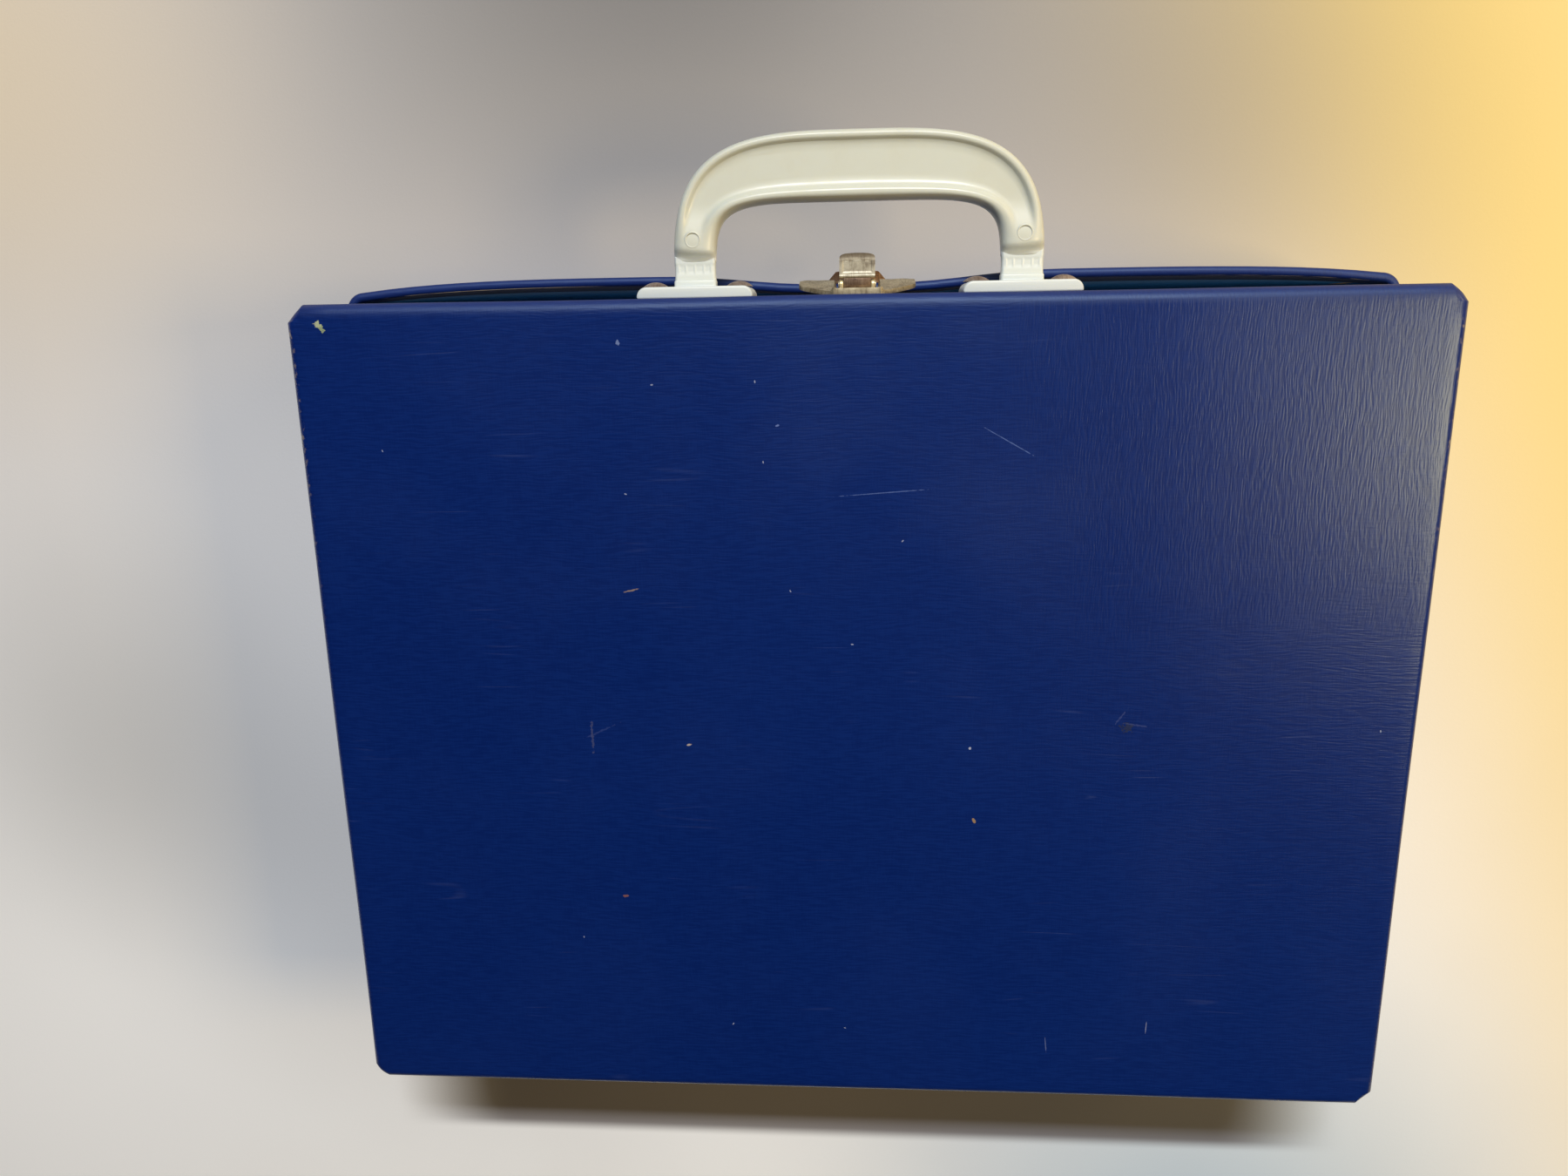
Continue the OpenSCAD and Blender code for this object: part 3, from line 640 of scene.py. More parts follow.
@dataclass(frozen=True)
class VinylFinish(Finish):
    """Pressed vinyl with a creased grain, semi-gloss, rubbed in places and worn at its folds.

    The grain stands upright beyond upright_x and upright_y. The side folds are worn bare, with
    painted warm glints, within fold_x of edge_x, at the height fold_z from mid depth, and more
    and more over fold_y. The fold at the handle is duller beyond dull_y.
    """

    tint: tuple
    worn_tint: tuple
    marks: tuple = ()
    grain: float = 0.46
    grain_depth: float = 0.045 * MM
    rough: float = 0.31
    gloss: float = 0.7
    gloss_tint: tuple = (0.62, 0.8, 1.0, 1.0)
    specks: float = 0.045
    scratches: float = 0.5
    scratch_tint: tuple = colour(96, 112, 168)
    speck_tint: tuple = colour(196, 200, 214)
    bare_and_glint_tint: tuple = colour(176, 160, 130)
    grain_share: float = 0.3
    cloud_share: float = 0.12
    scratch_share: float = 0.16
    speck_share: float = 0.75
    bare_and_glint_share: float = 0.55
    fine_share: float = 0.15
    smudge_rough: float = 0.06
    scuff_rough: float = 0.2
    dull_rough: float = 0.22
    edge_x: float = CASE_HALF_W
    fold_x: tuple = (2.8 * MM, 0.8 * MM)
    fold_y: tuple = (20 * MM, 100 * MM)
    fold_z: tuple = (36.6 * MM, 38.4 * MM)
    upright_x: tuple = (10 * MM, 90 * MM)
    upright_y: tuple = (0.0, 70 * MM)
    dull_y: tuple = (123.5 * MM, 126.2 * MM)

    def worn_and_glinting_fold(self, nodes: NodeTree, place: Socket) -> Socket:
        """Finds the ragged line of wear and painted warm glints along the side folds.

        Args:
            nodes: the material's tree.
            place: the place on the piece.

        Returns:
            The wear's mask.
        """
        x, y, z = nodes.add("SeparateXYZ", Vector_in=place).outputs
        start, full = self.fold_x
        near = nodes.ramp(nodes.math("ABSOLUTE", x), self.edge_x - start, self.edge_x - full)
        ragged = nodes.ramp(nodes.streaks(place, (700.0, 500.0, 700.0), 3.0), 0.56, 0.66)
        from_mid = nodes.math("ABSOLUTE", nodes.minus(z, CASE_DEPTH / 2))
        on_fold = nodes.times(nodes.times(near, ragged), nodes.ramp(from_mid, *self.fold_z))
        return nodes.times(on_fold, nodes.ramp(y, *self.fold_y))

    def dress(self, nodes: NodeTree, shader: bpy.types.Node, place: Socket) -> None:
        """Colours the vinyl, adds its wear marks and presses its grain.

        Args:
            nodes: the material's tree.
            shader: the material's shader.
            place: the place on the piece.
        """
        x, y, _ = nodes.add("SeparateXYZ", Vector_in=place).outputs
        upright = nodes.times(nodes.ramp(x, *self.upright_x), nodes.ramp(y, *self.upright_y))
        grain = CreasedGrain.place(nodes, Vector=place, Upright=upright)
        spots = RubbedSpots.place(nodes, Vector=place, Specks=self.specks, Scratches=self.scratches)
        base = nodes.over(self.tint, self.worn_tint, grain["Height"], self.grain_share)
        base = nodes.over(base, self.worn_tint, grain["Broad"], self.cloud_share)
        base = nodes.over(base, self.scratch_tint, spots["Scratch"], self.scratch_share)
        base = nodes.over(base, self.speck_tint, spots["Speck"], self.speck_share)
        scuff = spots["Scratch"]
        for mark in self.marks:
            mask = mark.mask(nodes, place)
            base = nodes.over(base, mark.tint, mask, mark.strength)
            scuff = nodes.math("MAXIMUM", scuff, mask)
        # the side folds get a worn-bare tan that also stands for painted warm glints
        base = nodes.over(base, self.bare_and_glint_tint, self.worn_and_glinting_fold(nodes, place), self.bare_and_glint_share)
        nodes.join(base, shader.inputs["Base Color"])
        dull = nodes.ramp(y, *self.dull_y)
        rough = nodes.total(self.rough, (spots["Smudge"], self.smudge_rough),
                            (scuff, self.scuff_rough), (dull, self.dull_rough))
        nodes.join(rough, shader.inputs["Roughness"])
        shader.inputs["Specular IOR Level"].default_value = self.gloss
        shader.inputs["Specular Tint"].default_value = self.gloss_tint
        height = nodes.total(grain["Height"], (grain["Fine"], self.fine_share))
        nodes.bump(shader, height, self.grain, self.grain_depth)


@dataclass(frozen=True)
class PlasticFinish(Finish):
    """Moulded plastic with a faint surface ripple, yellowed and dirty in places.

    It lets light through by the share of through, and is whitened by bending up to pale_y.
    """

    tint: tuple
    dirt_tint: tuple
    dirt: float = 0.25
    rough: float = 0.3
    through: float = 0.0
    through_reach: tuple = (6 * MM, 5.5 * MM, 3.5 * MM)
    ripple: float = 0.12
    ripple_depth: float = 0.4 * MM
    scratches: float = 0.6
    scratch_share: float = 0.25
    scratch_cut: float = 0.2
    patch_rough: float = 0.12
    pale_y: float = -1.0
    pale_fade: float = 3.2 * MM
    pale_tint: tuple = colour(232, 237, 234)

    def dress(self, nodes: NodeTree, shader: bpy.types.Node, place: Socket) -> None:
        """Mottles the colour, whitens the bent end, dulls some patches and adds a faint ripple.

        Args:
            nodes: the material's tree.
            shader: the material's shader.
            place: the place on the piece.
        """
        spots = RubbedSpots.place(nodes, Vector=place, Specks=0.0, Scratches=self.scratches)
        scratch = spots["Scratch"]
        patch = nodes.ramp(nodes.noise(place, 60.0, 5.0, 0.6), 0.42, 0.75)
        base = nodes.over(self.tint, self.dirt_tint, patch, self.dirt)
        base = nodes.over(base, self.dirt_tint, scratch, self.scratch_share)
        y = nodes.add("SeparateXYZ", Vector_in=place).outputs[1]
        pale = nodes.fall(y, self.pale_y, self.pale_y + self.pale_fade)
        base = nodes.over(base, self.pale_tint, pale)
        nodes.join(base, shader.inputs["Base Color"])
        nodes.join(nodes.total(self.rough, (patch, self.patch_rough)), shader.inputs["Roughness"])
        shader.inputs["Subsurface Weight"].default_value = self.through
        shader.inputs["Subsurface Radius"].default_value = self.through_reach
        height = nodes.total(nodes.noise(place, 160.0, 2.0), (scratch, -self.scratch_cut))
        nodes.bump(shader, height, self.ripple, self.ripple_depth)


@dataclass(frozen=True)
class MetalFinish(Finish):
    """Plated or bare steel, tarnished and rusty to a stated degree, and painted darker beyond cap_y
    as shade.
    """

    tint: tuple
    tarnish_tint: tuple
    rust_tint: tuple
    tarnish: float = 0.5
    rust: float = 0.2
    rough: float = 0.3
    metal: float = 1.0
    cap_y: float = 1.0
    cap_fade: float = 2.8 * MM
    tarnish_share: float = 0.85
    streak_share: float = 0.45
    cap_shade_share: float = 0.8
    rust_cover: float = 0.9
    rub_rough: float = 0.2
    rust_rough: float = 0.35
    cap_rough: float = 0.4
    pits: float = 0.35
    pit_depth: float = 0.12 * MM

    def dress(self, nodes: NodeTree, shader: bpy.types.Node, place: Socket) -> None:
        """Lays tarnish and rust over the plating, paints shade in the tarnish tint over the cap,
        and pits the surface.

        Args:
            nodes: the material's tree.
            shader: the material's shader.
            place: the place on the piece.
        """
        wear = WornMetal.place(nodes, Vector=place, Tarnish=self.tarnish, Rust=self.rust)
        y = nodes.add("SeparateXYZ", Vector_in=place).outputs[1]
        cap = nodes.ramp(y, self.cap_y - self.cap_fade, self.cap_y)
        streak = nodes.ramp(wear["Rub"], 0.47, 0.66)
        base = nodes.over(self.tint, self.tarnish_tint, wear["Tarnish"], self.tarnish_share)
        base = nodes.over(base, self.rust_tint, streak, self.streak_share)
        base = nodes.over(base, self.rust_tint, wear["Rust"])
        # painted shade: the lever's top bend and upper face grow darker towards cap_y, standing in
        # for the shade and darker reflection there
        base = nodes.over(base, self.tarnish_tint, cap, self.cap_shade_share)
        nodes.join(base, shader.inputs["Base Color"])
        metal = nodes.total(self.metal, (wear["Rust"], -self.rust_cover * self.metal))
        nodes.join(metal, shader.inputs["Metallic"])
        rough = nodes.total(self.rough, (wear["Rub"], self.rub_rough),
                            (wear["Rust"], self.rust_rough), (cap, self.cap_rough))
        nodes.join(rough, shader.inputs["Roughness"])
        nodes.bump(shader, wear["Height"], self.pits, self.pit_depth)


@dataclass(frozen=True)
class BoardFinish(Finish):
    """Grey-brown chipboard with flecks."""

    tint: tuple
    fleck_tint: tuple
    rough: float = 0.85
    fibre: float = 0.3
    fibre_depth: float = 0.3 * MM

    def dress(self, nodes: NodeTree, shader: bpy.types.Node, place: Socket) -> None:
        """Mixes flecks into the board's colour and roughens it.

        Args:
            nodes: the material's tree.
            shader: the material's shader.
            place: the place on the piece.
        """
        fleck = nodes.ramp(nodes.noise(place, 700.0, 5.0, 0.7), 0.5, 0.7)
        nodes.join(nodes.over(self.tint, self.fleck_tint, fleck), shader.inputs["Base Color"])
        shader.inputs["Roughness"].default_value = self.rough
        nodes.bump(shader, nodes.noise(place, 900.0, 4.0), self.fibre, self.fibre_depth)


DEEP_BLUE = colour(0, 26, 92)
RUBBED_BLUE = colour(10, 44, 118)
SCRATCHED_BLUE = colour(96, 122, 186)
CREASED_BLUE = colour(66, 78, 140)
NICK_BLUE = colour(170, 180, 206)
PANEL_MARKS = (
    Mark(-154.5, 121.8, 3.6, 1.6, -58, colour(142, 154, 112), 0.9, 1.3),
    Mark(-155.2, 122.5, 2.2, 1.5, 10, colour(168, 176, 142), 0.8, 1.4),
    Mark(35.7, -29.8, 2.0, 1.1, -60, colour(150, 122, 84), 0.85, 0.6),
    Mark(-82.2, -2.9, 0.8, 10.0, 0, colour(92, 92, 112), 0.26, 1.8),
    Mark(-80.0, -1.6, 10.0, 0.7, 25, colour(62, 78, 140), 0.16, 1.6),
    Mark(80.2, 1.1, 3.6, 2.8, 0, colour(6, 10, 34), 0.6, 1.9),
    Mark(83.0, 1.8, 8.0, 0.6, -8, CREASED_BLUE, 0.2, 1.4),
    Mark(78.4, 4.2, 6.0, 0.5, 55, CREASED_BLUE, 0.18, 1.4),
    Mark(7.6, 72.4, 29.0, 0.32, 4, SCRATCHED_BLUE, 0.36, 0.8),
    Mark(43.2, 86.6, 17.5, 0.32, -30, SCRATCHED_BLUE, 0.36, 0.8),
    Mark(-67.6, 43.5, 4.6, 0.6, 12, colour(150, 128, 104), 0.6, 1.0),
    Mark(-74.5, -57.5, 2.0, 1.0, 5, colour(132, 84, 62), 0.7, 0.7),
    Mark(-52.0, -5.6, 1.8, 0.8, 15, colour(190, 176, 160), 0.7, 0.6),
    Mark(-68.0, 116.0, 1.2, 1.6, 10, colour(120, 138, 184), 0.6, 0.8),
    Mark(-23.0, 92.0, 1.4, 0.6, 20, colour(110, 130, 190), 0.6, 0.6),
    Mark(34.0, -6.0, 1.0, 1.0, 0, colour(180, 186, 206), 0.7, 0.6),
    Mark(60.5, -108.0, 0.35, 6.5, 6, colour(110, 124, 170), 0.45, 0.5),
    Mark(92.0, -101.0, 0.35, 5.0, -2, colour(150, 158, 190), 0.5, 0.5),
)
PALE_NICKS = tuple(Mark(x, y, 0.9, 0.42, 3 * x, NICK_BLUE, 0.55, 0.5) for x, y in (
    (-139.7, 85.9), (-58.8, 104.0), (-29.1, 104.5), (-27.2, 81.6), (-67.9, 72.6), (-19.9, 43.2),
    (13.1, 58.2), (-1.6, 26.8), (154.0, 0.4), (-89.0, -72.5), (-41.0, -103.3), (-4.3, -103.8)))

PANEL_VINYL = VinylFinish("Panel vinyl", DEEP_BLUE, RUBBED_BLUE, marks=PANEL_MARKS + PALE_NICKS)
BASE_VINYL = VinylFinish("Base vinyl", DEEP_BLUE, RUBBED_BLUE)
LINING_VINYL = VinylFinish("Lining vinyl", colour(16, 84, 160), colour(40, 110, 180),
                           grain=0.15, rough=0.3, specks=0.02, edge_x=1.0)
IVORY_PLASTIC = PlasticFinish("Ivory plastic", colour(204, 208, 197), colour(188, 184, 158),
                              dirt=0.22, rough=0.32, through=0.35, pale_y=138.6 * MM)
WHITENED_PLASTIC = PlasticFinish("Whitened plastic", colour(207, 214, 211), colour(200, 202, 190),
                                 dirt=0.12, rough=0.34, through=0.12)
CREAM_PLASTIC = PlasticFinish("Cream plastic", colour(222, 214, 186), colour(188, 174, 138),
                              dirt=0.25, rough=0.36, through=0.08)
NICKEL_PLATE = MetalFinish(
    "Worn nickel", colour(186, 181, 158), colour(138, 126, 98), colour(98, 84, 62),
    tarnish=0.34, rust=0.06, rough=0.42, metal=0.5)
# its cap_y starts the painted shade on the lever's top
LEVER_PLATE = MetalFinish(
    "Lever plate", colour(190, 184, 164), colour(96, 82, 66), colour(84, 70, 54),
    tarnish=0.4, rust=0.08, rough=0.36, metal=0.55, cap_y=140.2 * MM)
BRASSY_PLATE = MetalFinish(
    "Brassy plate", colour(196, 184, 152), colour(118, 102, 74), colour(82, 66, 48),
    tarnish=0.46, rust=0.14, rough=0.32, metal=0.62)
# painted light: the tint is lightened to make up for the grip's shadow that falls over the keeper
RUSTY_STEEL_PAINTED_LIGHT = MetalFinish(
    "Rusty steel", colour(232, 196, 164), colour(176, 130, 98), colour(110, 74, 56),
    tarnish=0.5, rust=0.22, rough=0.42, metal=0.2)
RUSTY_RECESS = MetalFinish(
    "Rusty knuckle", colour(166, 144, 120), colour(92, 68, 52), colour(56, 38, 30),
    tarnish=0.55, rust=0.24, rough=0.3, metal=0.7)
EAR_METAL = MetalFinish(
    "Bright ear", colour(206, 190, 148), colour(140, 116, 76), colour(96, 72, 46),
    tarnish=0.3, rust=0.08, rough=0.32, metal=0.65)
DULL_RIVET = MetalFinish(
    "Dull rivet", colour(184, 168, 156), colour(124, 104, 92), colour(88, 66, 54),
    tarnish=0.5, rust=0.18, rough=0.32, metal=0.6)
CHIPBOARD = BoardFinish("Chipboard", colour(160, 144, 116), colour(120, 104, 82))


def ride(piece: Piece, body: Body, finish: Finish) -> None:
    """Dresses a piece and fixes it to a body.

    Args:
        piece: the new piece.
        body: the body that it rides on.
        finish: its finish.
    """
    finish.put_on(piece)
    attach(piece, body.value)
    LOG.info("made %s on %s", piece.name, body.value)


def bend_between(piece: Piece, fixed: Body, moving: Body, finish: Finish) -> None:
    """Dresses a soft piece, applies its place to its points, and logs the two bodies it lies
    between.

    Args:
        piece: the new piece.
        fixed: the body at its start, named in the log.
        moving: the body at its end, named in the log.
        finish: its finish.
    """
    finish.put_on(piece)
    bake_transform(piece)
    LOG.info("made %s between %s and %s", piece.name, fixed.value, moving.value)


# The case's two halves


@dataclass
class Outline:
    """A half's rounded outline, in metres, with its bowed handle side."""

    half_w: float
    low_y: float
    high_y: float
    low_r: float
    high_r: float
    bow: float = 0.0
    bow_flat: float = 12 * MM
    bow_full: float = 60 * MM
    clipped: tuple = (0.0, 0.0, 0.0, 0.0)
    side_steps: int = 40
    corner_steps: int = 10

    def directions(self) -> tuple:
        """Works out the outline once, starting at the lower right corner and going round.

        Returns:
            Corner centres, outward normals and corner radii for every outline point, so that
            a point at inset d lies at centre + normal * (radius - d), and the share of that
            distance that is kept. A clipped corner keeps cos 45 / cos(angle from its middle),
            which is a straight cut.
        """
        corners = ((self.half_w, self.low_y, self.low_r, 1, -1),
                   (self.half_w, self.high_y, self.high_r, 1, 1),
                   (-self.half_w, self.high_y, self.high_r, -1, 1),
                   (-self.half_w, self.low_y, self.low_r, -1, -1))
        share = np.linspace(0.0, 1.0, self.side_steps + 1)[1:-1]
        parts = []
        for index, (x, y, r, right, up) in enumerate(corners):
            start = 90.0 * index - 90.0
            angle = np.radians(start + np.linspace(0.0, 90.0, self.corner_steps + 1))
            normal = points(np.cos(angle), np.sin(angle))
            centre = np.array([x - right * r, y - up * r])
            cut = math.cos(math.pi / 4) / np.cos(angle - math.radians(start + 45.0))
            kept = 1.0 - self.clipped[index] * (1.0 - cut)
            parts.append((np.tile(centre, (len(angle), 1)), normal, np.full(len(angle), r), kept))
            next_x, next_y, next_r, next_right, next_up = corners[(index + 1) % 4]
            ahead = np.array([next_x - next_right * next_r, next_y - next_up * next_r])
            parts.append((centre + (ahead - centre) * share[:, None],
                          np.tile(normal[-1], (len(share), 1)),
                          r + (next_r - r) * share, np.ones(len(share))))
        return tuple(np.concatenate(column) for column in zip(*parts))

    def bow_at(self, x: np.ndarray) -> np.ndarray:
        """Works out how far the handle side bows out: none under the clasp, full past bow_full,
        and back to none at the corners by a sixth power.

        Args:
            x: places along the side.

        Returns:
            The bow at each place.
        """
        end = self.half_w - self.high_r
        rise = smoothstep((np.abs(x) - self.bow_flat) / (self.bow_full - self.bow_flat))
        return self.bow * rise * np.clip(1.0 - (np.abs(x) / end) ** 6, 0.0, 1.0)


@dataclass
class Skin:
    """One half's vinyl: a closed sheet over panel, folds, walls and rim, and the lining inside."""

    body: Body
    outline: Outline
    depth: float
    fold_r: float = 3 * MM
    wall_t: float = 3 * MM
    sheet_t: float = 0.6 * MM
    board_t: float = 2 * MM
    lining_t: float = 0.4 * MM
    lining_r: float = 1.2 * MM
    hem: float = 7 * MM
    hem_lift: float = 0.15 * MM
    lining_tuck: float = 0.6
    unevenness: float = 0.22 * MM
    wave_count: int = 5
    wave_turns: tuple = (15.0, 55.0)
    wave_lift: float = 0.3
    turned: bool = False
    case_depth: float = CASE_DEPTH
    seed: int = 3

    @staticmethod
    def whole(rows: np.ndarray) -> np.ndarray:
        """Returns (inset, height) rows with a panel share of 1 added."""
        return np.column_stack([rows, np.ones(len(rows))])

    def section(self) -> np.ndarray:
        """Works out the cover's section as (inset, height, panel share) rows.

        The section starts at the panel's centre, crosses the panel, turns down the fold as a
        quarter circle, runs up the wall, rolls over the rim as a half circle, ends in a hem on
        the lining, and comes back as the sheet's inner side to the centre.

        Returns:
            Rows of inset from the outline, height above the outer panel, and the share of the
            way from the panel's centre, which is 1 from the fold on.
        """
        r, t, wall = self.fold_r, self.sheet_t, self.wall_t
        roll = wall / 2
        top = self.depth - roll
        hem_end = top - self.hem
        share = np.array([0.0, 0.3, 0.6, 0.8, 0.9, 0.95, 0.98])
        edge = np.concatenate([
            arc((r, r), r, -90, -180, 9),
            points(0.0, np.linspace(r, top, 8)[1:]),
            arc((roll, top), roll, 180, 0, 13)[1:],
            [[wall, top - self.hem / 2], [wall + self.hem_lift, hem_end],
             [wall - t, hem_end], [wall - t, top]],
            arc((roll, top), roll - t, 0, 180, 13)[1:-1],
            [[t, top]],
            arc((r, r), r - t, -180, -90, 9),
        ])
        return np.concatenate([points(r, 0.0, share), self.whole(edge), points(r, t, share[::-1])])

    def lining_section(self) -> np.ndarray:
        """Works out the lining's closed section.

        Returns:
            Rows in the same form as the cover's.
        """
        centre = (self.wall_t + self.lining_r, self.wall_t + self.lining_r)
        top = self.depth - self.wall_t / 2 - self.hem * self.lining_tuck
        share = np.array([0.0, 0.5, 0.9, 0.97])
        edge = np.concatenate([
            arc(centre, self.lining_r, -90, -180, 5),
            [[self.wall_t, top], [self.wall_t - self.lining_t, top]],
            arc(centre, self.lining_r + self.lining_t, -180, -90, 5),
        ])
        under = points(centre[0], self.sheet_t + self.board_t, share[::-1])
        return np.concatenate([points(centre[0], self.wall_t, share), self.whole(edge), under])

    def waves(self, x: np.ndarray, y: np.ndarray, z: np.ndarray) -> np.ndarray:
        """Works out a slow hand-made unevenness, a mean of seeded sine waves.

        Args:
            x: places along X.
            y: places along Y.
            z: places along Z.

        Returns:
            The wave at each place, between -1 and 1.
        """
        rng = np.random.default_rng(self.seed)
        total = np.zeros(np.broadcast(x, y, z).shape)
        for _ in range(self.wave_count):
            ax, ay, az = rng.uniform(*self.wave_turns, 3) * rng.choice([-1, 1], 3)
            total = total + np.sin(ax * x + ay * y + az * z + rng.uniform(0, 6.28))
        return total / self.wave_count

    def swept(self, section: np.ndarray) -> np.ndarray:
        """Carries a section round the outline.

        Each point lies at its corner centre plus the normal times the radius less the inset.
        On the panel it is drawn towards the centre by its share. The bow grows in proportion
        to the height above the fold, and slow waves of a few tenths of a millimetre unsettle it.

        Args:
            section: rows of inset, height and share.

        Returns:
            A grid of points, one row for each row of the section.
        """
        centres, normals, radii, kept = self.outline.directions()
        inset, height, share = (column[:, None] for column in section.T)
        away = np.maximum(radii * kept - inset, 0.0)
        middle = (self.outline.low_y + self.outline.high_y) / 2
        x = (centres[:, 0] + normals[:, 0] * away) * share
        y = middle + (centres[:, 1] + normals[:, 1] * away - middle) * share
        beyond = share >= 1.0
        lifted = np.clip((height - self.fold_r) / (self.depth - self.fold_r), 0.0, 1.0)
        facing = np.clip(normals[:, 1], 0.0, 1.0)
        y = y + self.outline.bow_at(x) * lifted * facing * beyond
        wave = self.unevenness * self.waves(x, y, height * self.wave_lift) * beyond
        z = self.case_depth - height if self.turned else height
        return points(x + normals[:, 0] * wave, y + normals[:, 1] * wave, z)

    def build(self, finish: Finish, covers: tuple, linings: tuple) -> None:
        """Builds the cover and the lining, and hides the CAD nodes that they stand for.

        Args:
            finish: the cover's finish.
            covers: CAD nodes that the cover stands for.
            linings: CAD nodes that the lining stands for.
        """
        cover = surface(f"{self.body.value}_vinyl", self.swept(self.section()))
        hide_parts(*covers)
        ride(cover, self.body, finish)
        lining = surface(f"{self.body.value}_inner_vinyl", self.swept(self.lining_section()))
        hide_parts(*linings)
        ride(lining, self.body, LINING_VINYL)


@dataclass
class CarTray:
    """A moulded tray of bays, as one height field over its rim with a smooth underside."""

    node: str
    dividers: str
    body: Body
    turned: bool
    cols: int = 3
    rows: int = 4
    rim: float = 3 * MM
    divider: float = 2 * MM
    divider_drop: float = 1.2 * MM
    wall: float = 1.4 * MM
    bay_r: float = 4 * MM
    bay_fall: float = 1 * MM
    drop_fall: float = 0.8 * MM
    scallop_r: float = 13 * MM
    scallop_fall: float = 2 * MM
    scallop_wall: float = 1.2 * MM
    plain_end: float = 8 * MM
    near_mm: tuple = (0.0, 0.25, 0.5, 0.75, 1.0, 1.5, 2.2, 3.0, 4.0, 6.0, 9.0)
    clear: float = 11 * MM
    step: float = 3 * MM

    def bay(self, span: float, count: int) -> float:
        """Returns a bay's size along a side of the tray that is span long and has count bays."""
        return (span - 2 * self.rim - (count - 1) * self.divider) / count

    def from_middle(self, place: np.ndarray, low: float, size: float) -> np.ndarray:
        """Returns each place's signed distance from the middle of its bay, which has this size."""
        return (place - low - self.rim) % (size + self.divider) - size / 2

    def lines(self, low: float, high: float, count: int) -> np.ndarray:
        """Places grid lines close together at the edges of the bays and wide apart across them.

        Args:
            low: the tray's low end.
            high: its high end.
            count: how many bays lie between them.

        Returns:
            The lines' places, in order.
        """
        size = self.bay(high - low, count)
        near, clear, step = np.array(self.near_mm) * MM, self.clear, self.step
        edge = np.array([0.0, self.drop_fall, self.rim * 0.6])
        spans = [low + edge]
        for start in low + self.rim + np.arange(count) * (size + self.divider):
            inner = np.linspace(start + clear, start + size - clear, max(4, int(size / step)))
            spans += [start + near, inner, start + size - near[::-1],
                      [start + size + self.divider / 2]]
        spans[-1] = high - edge[::-1]
        return np.unique(np.round(np.concatenate(spans), 7))

    def depths(self, x: np.ndarray, y: np.ndarray, low: np.ndarray, high: np.ndarray,
               full: float) -> np.ndarray:
        """Works out how far the tray's top lies below its rim.

        A bay is a rounded rectangle, and the top falls by a smooth step from its edge to its
        floor. The dividers lie a little below the rim. Between rows of bays they are cut by
        round finger scallops, divider_drop + sqrt(scallop_r^2 - distance^2) deep.

        Args:
            x: places along X.
            y: places along Y.
            low: the tray's low corner.
            high: its high corner.
            full: the depth of a bay.

        Returns:
            The depth at each place.
        """
        width, height = self.bay(high[0] - low[0], self.cols), self.bay(high[1] - low[1], self.rows)
        across = np.abs(self.from_middle(x, low[0], width))
        beyond_x = across - (width / 2 - self.bay_r)
        beyond_y = np.abs(self.from_middle(y, low[1], height)) - (height / 2 - self.bay_r)
        round_part = np.hypot(np.maximum(beyond_x, 0), np.maximum(beyond_y, 0))
        inside = self.bay_r - (round_part + np.minimum(np.maximum(beyond_x, beyond_y), 0))
        from_rim = np.minimum.reduce([x - low[0], high[0] - x, y - low[1], high[1] - y]) - self.rim
        inside = np.where(from_rim > 0, inside, np.minimum(inside, from_rim))
        lowered = self.divider_drop * smoothstep(from_rim / self.drop_fall)
        drop = np.maximum(full * smoothstep(inside / self.bay_fall), lowered)
        scallop = self.divider_drop + np.sqrt(np.maximum(self.scallop_r ** 2 - across ** 2, 0.0))
        scallop = scallop * smoothstep((self.scallop_r - across) / self.scallop_fall)
        between = ((y > low[1] + self.rim + self.plain_end)
                   & (y < high[1] - self.rim - self.plain_end))
        on_divider = (inside < self.scallop_wall) & (inside > -self.divider)
        return np.maximum(drop, np.where(between & on_divider, scallop, 0.0))

    def build(self) -> None:
        """Builds the tray: its top, its underside one wall below, and the edge between them."""
        low, high = np.array(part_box(self.node))
        rim_z, floor_z = (low[2], high[2]) if self.turned else (high[2], low[2])
        up = math.copysign(1.0, rim_z - floor_z)
        x, y = np.meshgrid(self.lines(low[0], high[0], self.cols),
                           self.lines(low[1], high[1], self.rows))
        top = rim_z - up * self.depths(x, y, low, high, abs(rim_z - floor_z) - self.wall)
        quads = grid_faces(*x.shape, False, False)
        index = np.arange(x.size).reshape(x.shape)
        ring = np.concatenate([index[0, :-1], index[:-1, -1], index[-1, :0:-1], index[:0:-1, 0]])
        following = np.roll(ring, -1)
        sides = points(ring, following, following + x.size, ring + x.size)
        faces = np.concatenate([quads, quads[:, ::-1] + x.size, sides])
        places = np.concatenate([points(x, y, top), points(x, y, top - up * self.wall)])
        tray = tidy_mesh(make_mesh(f"{self.node}_moulding", places, faces.tolist()))
        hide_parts(self.node, self.dividers)
        ride(tray, self.body, CREAM_PLASTIC)


# The handle


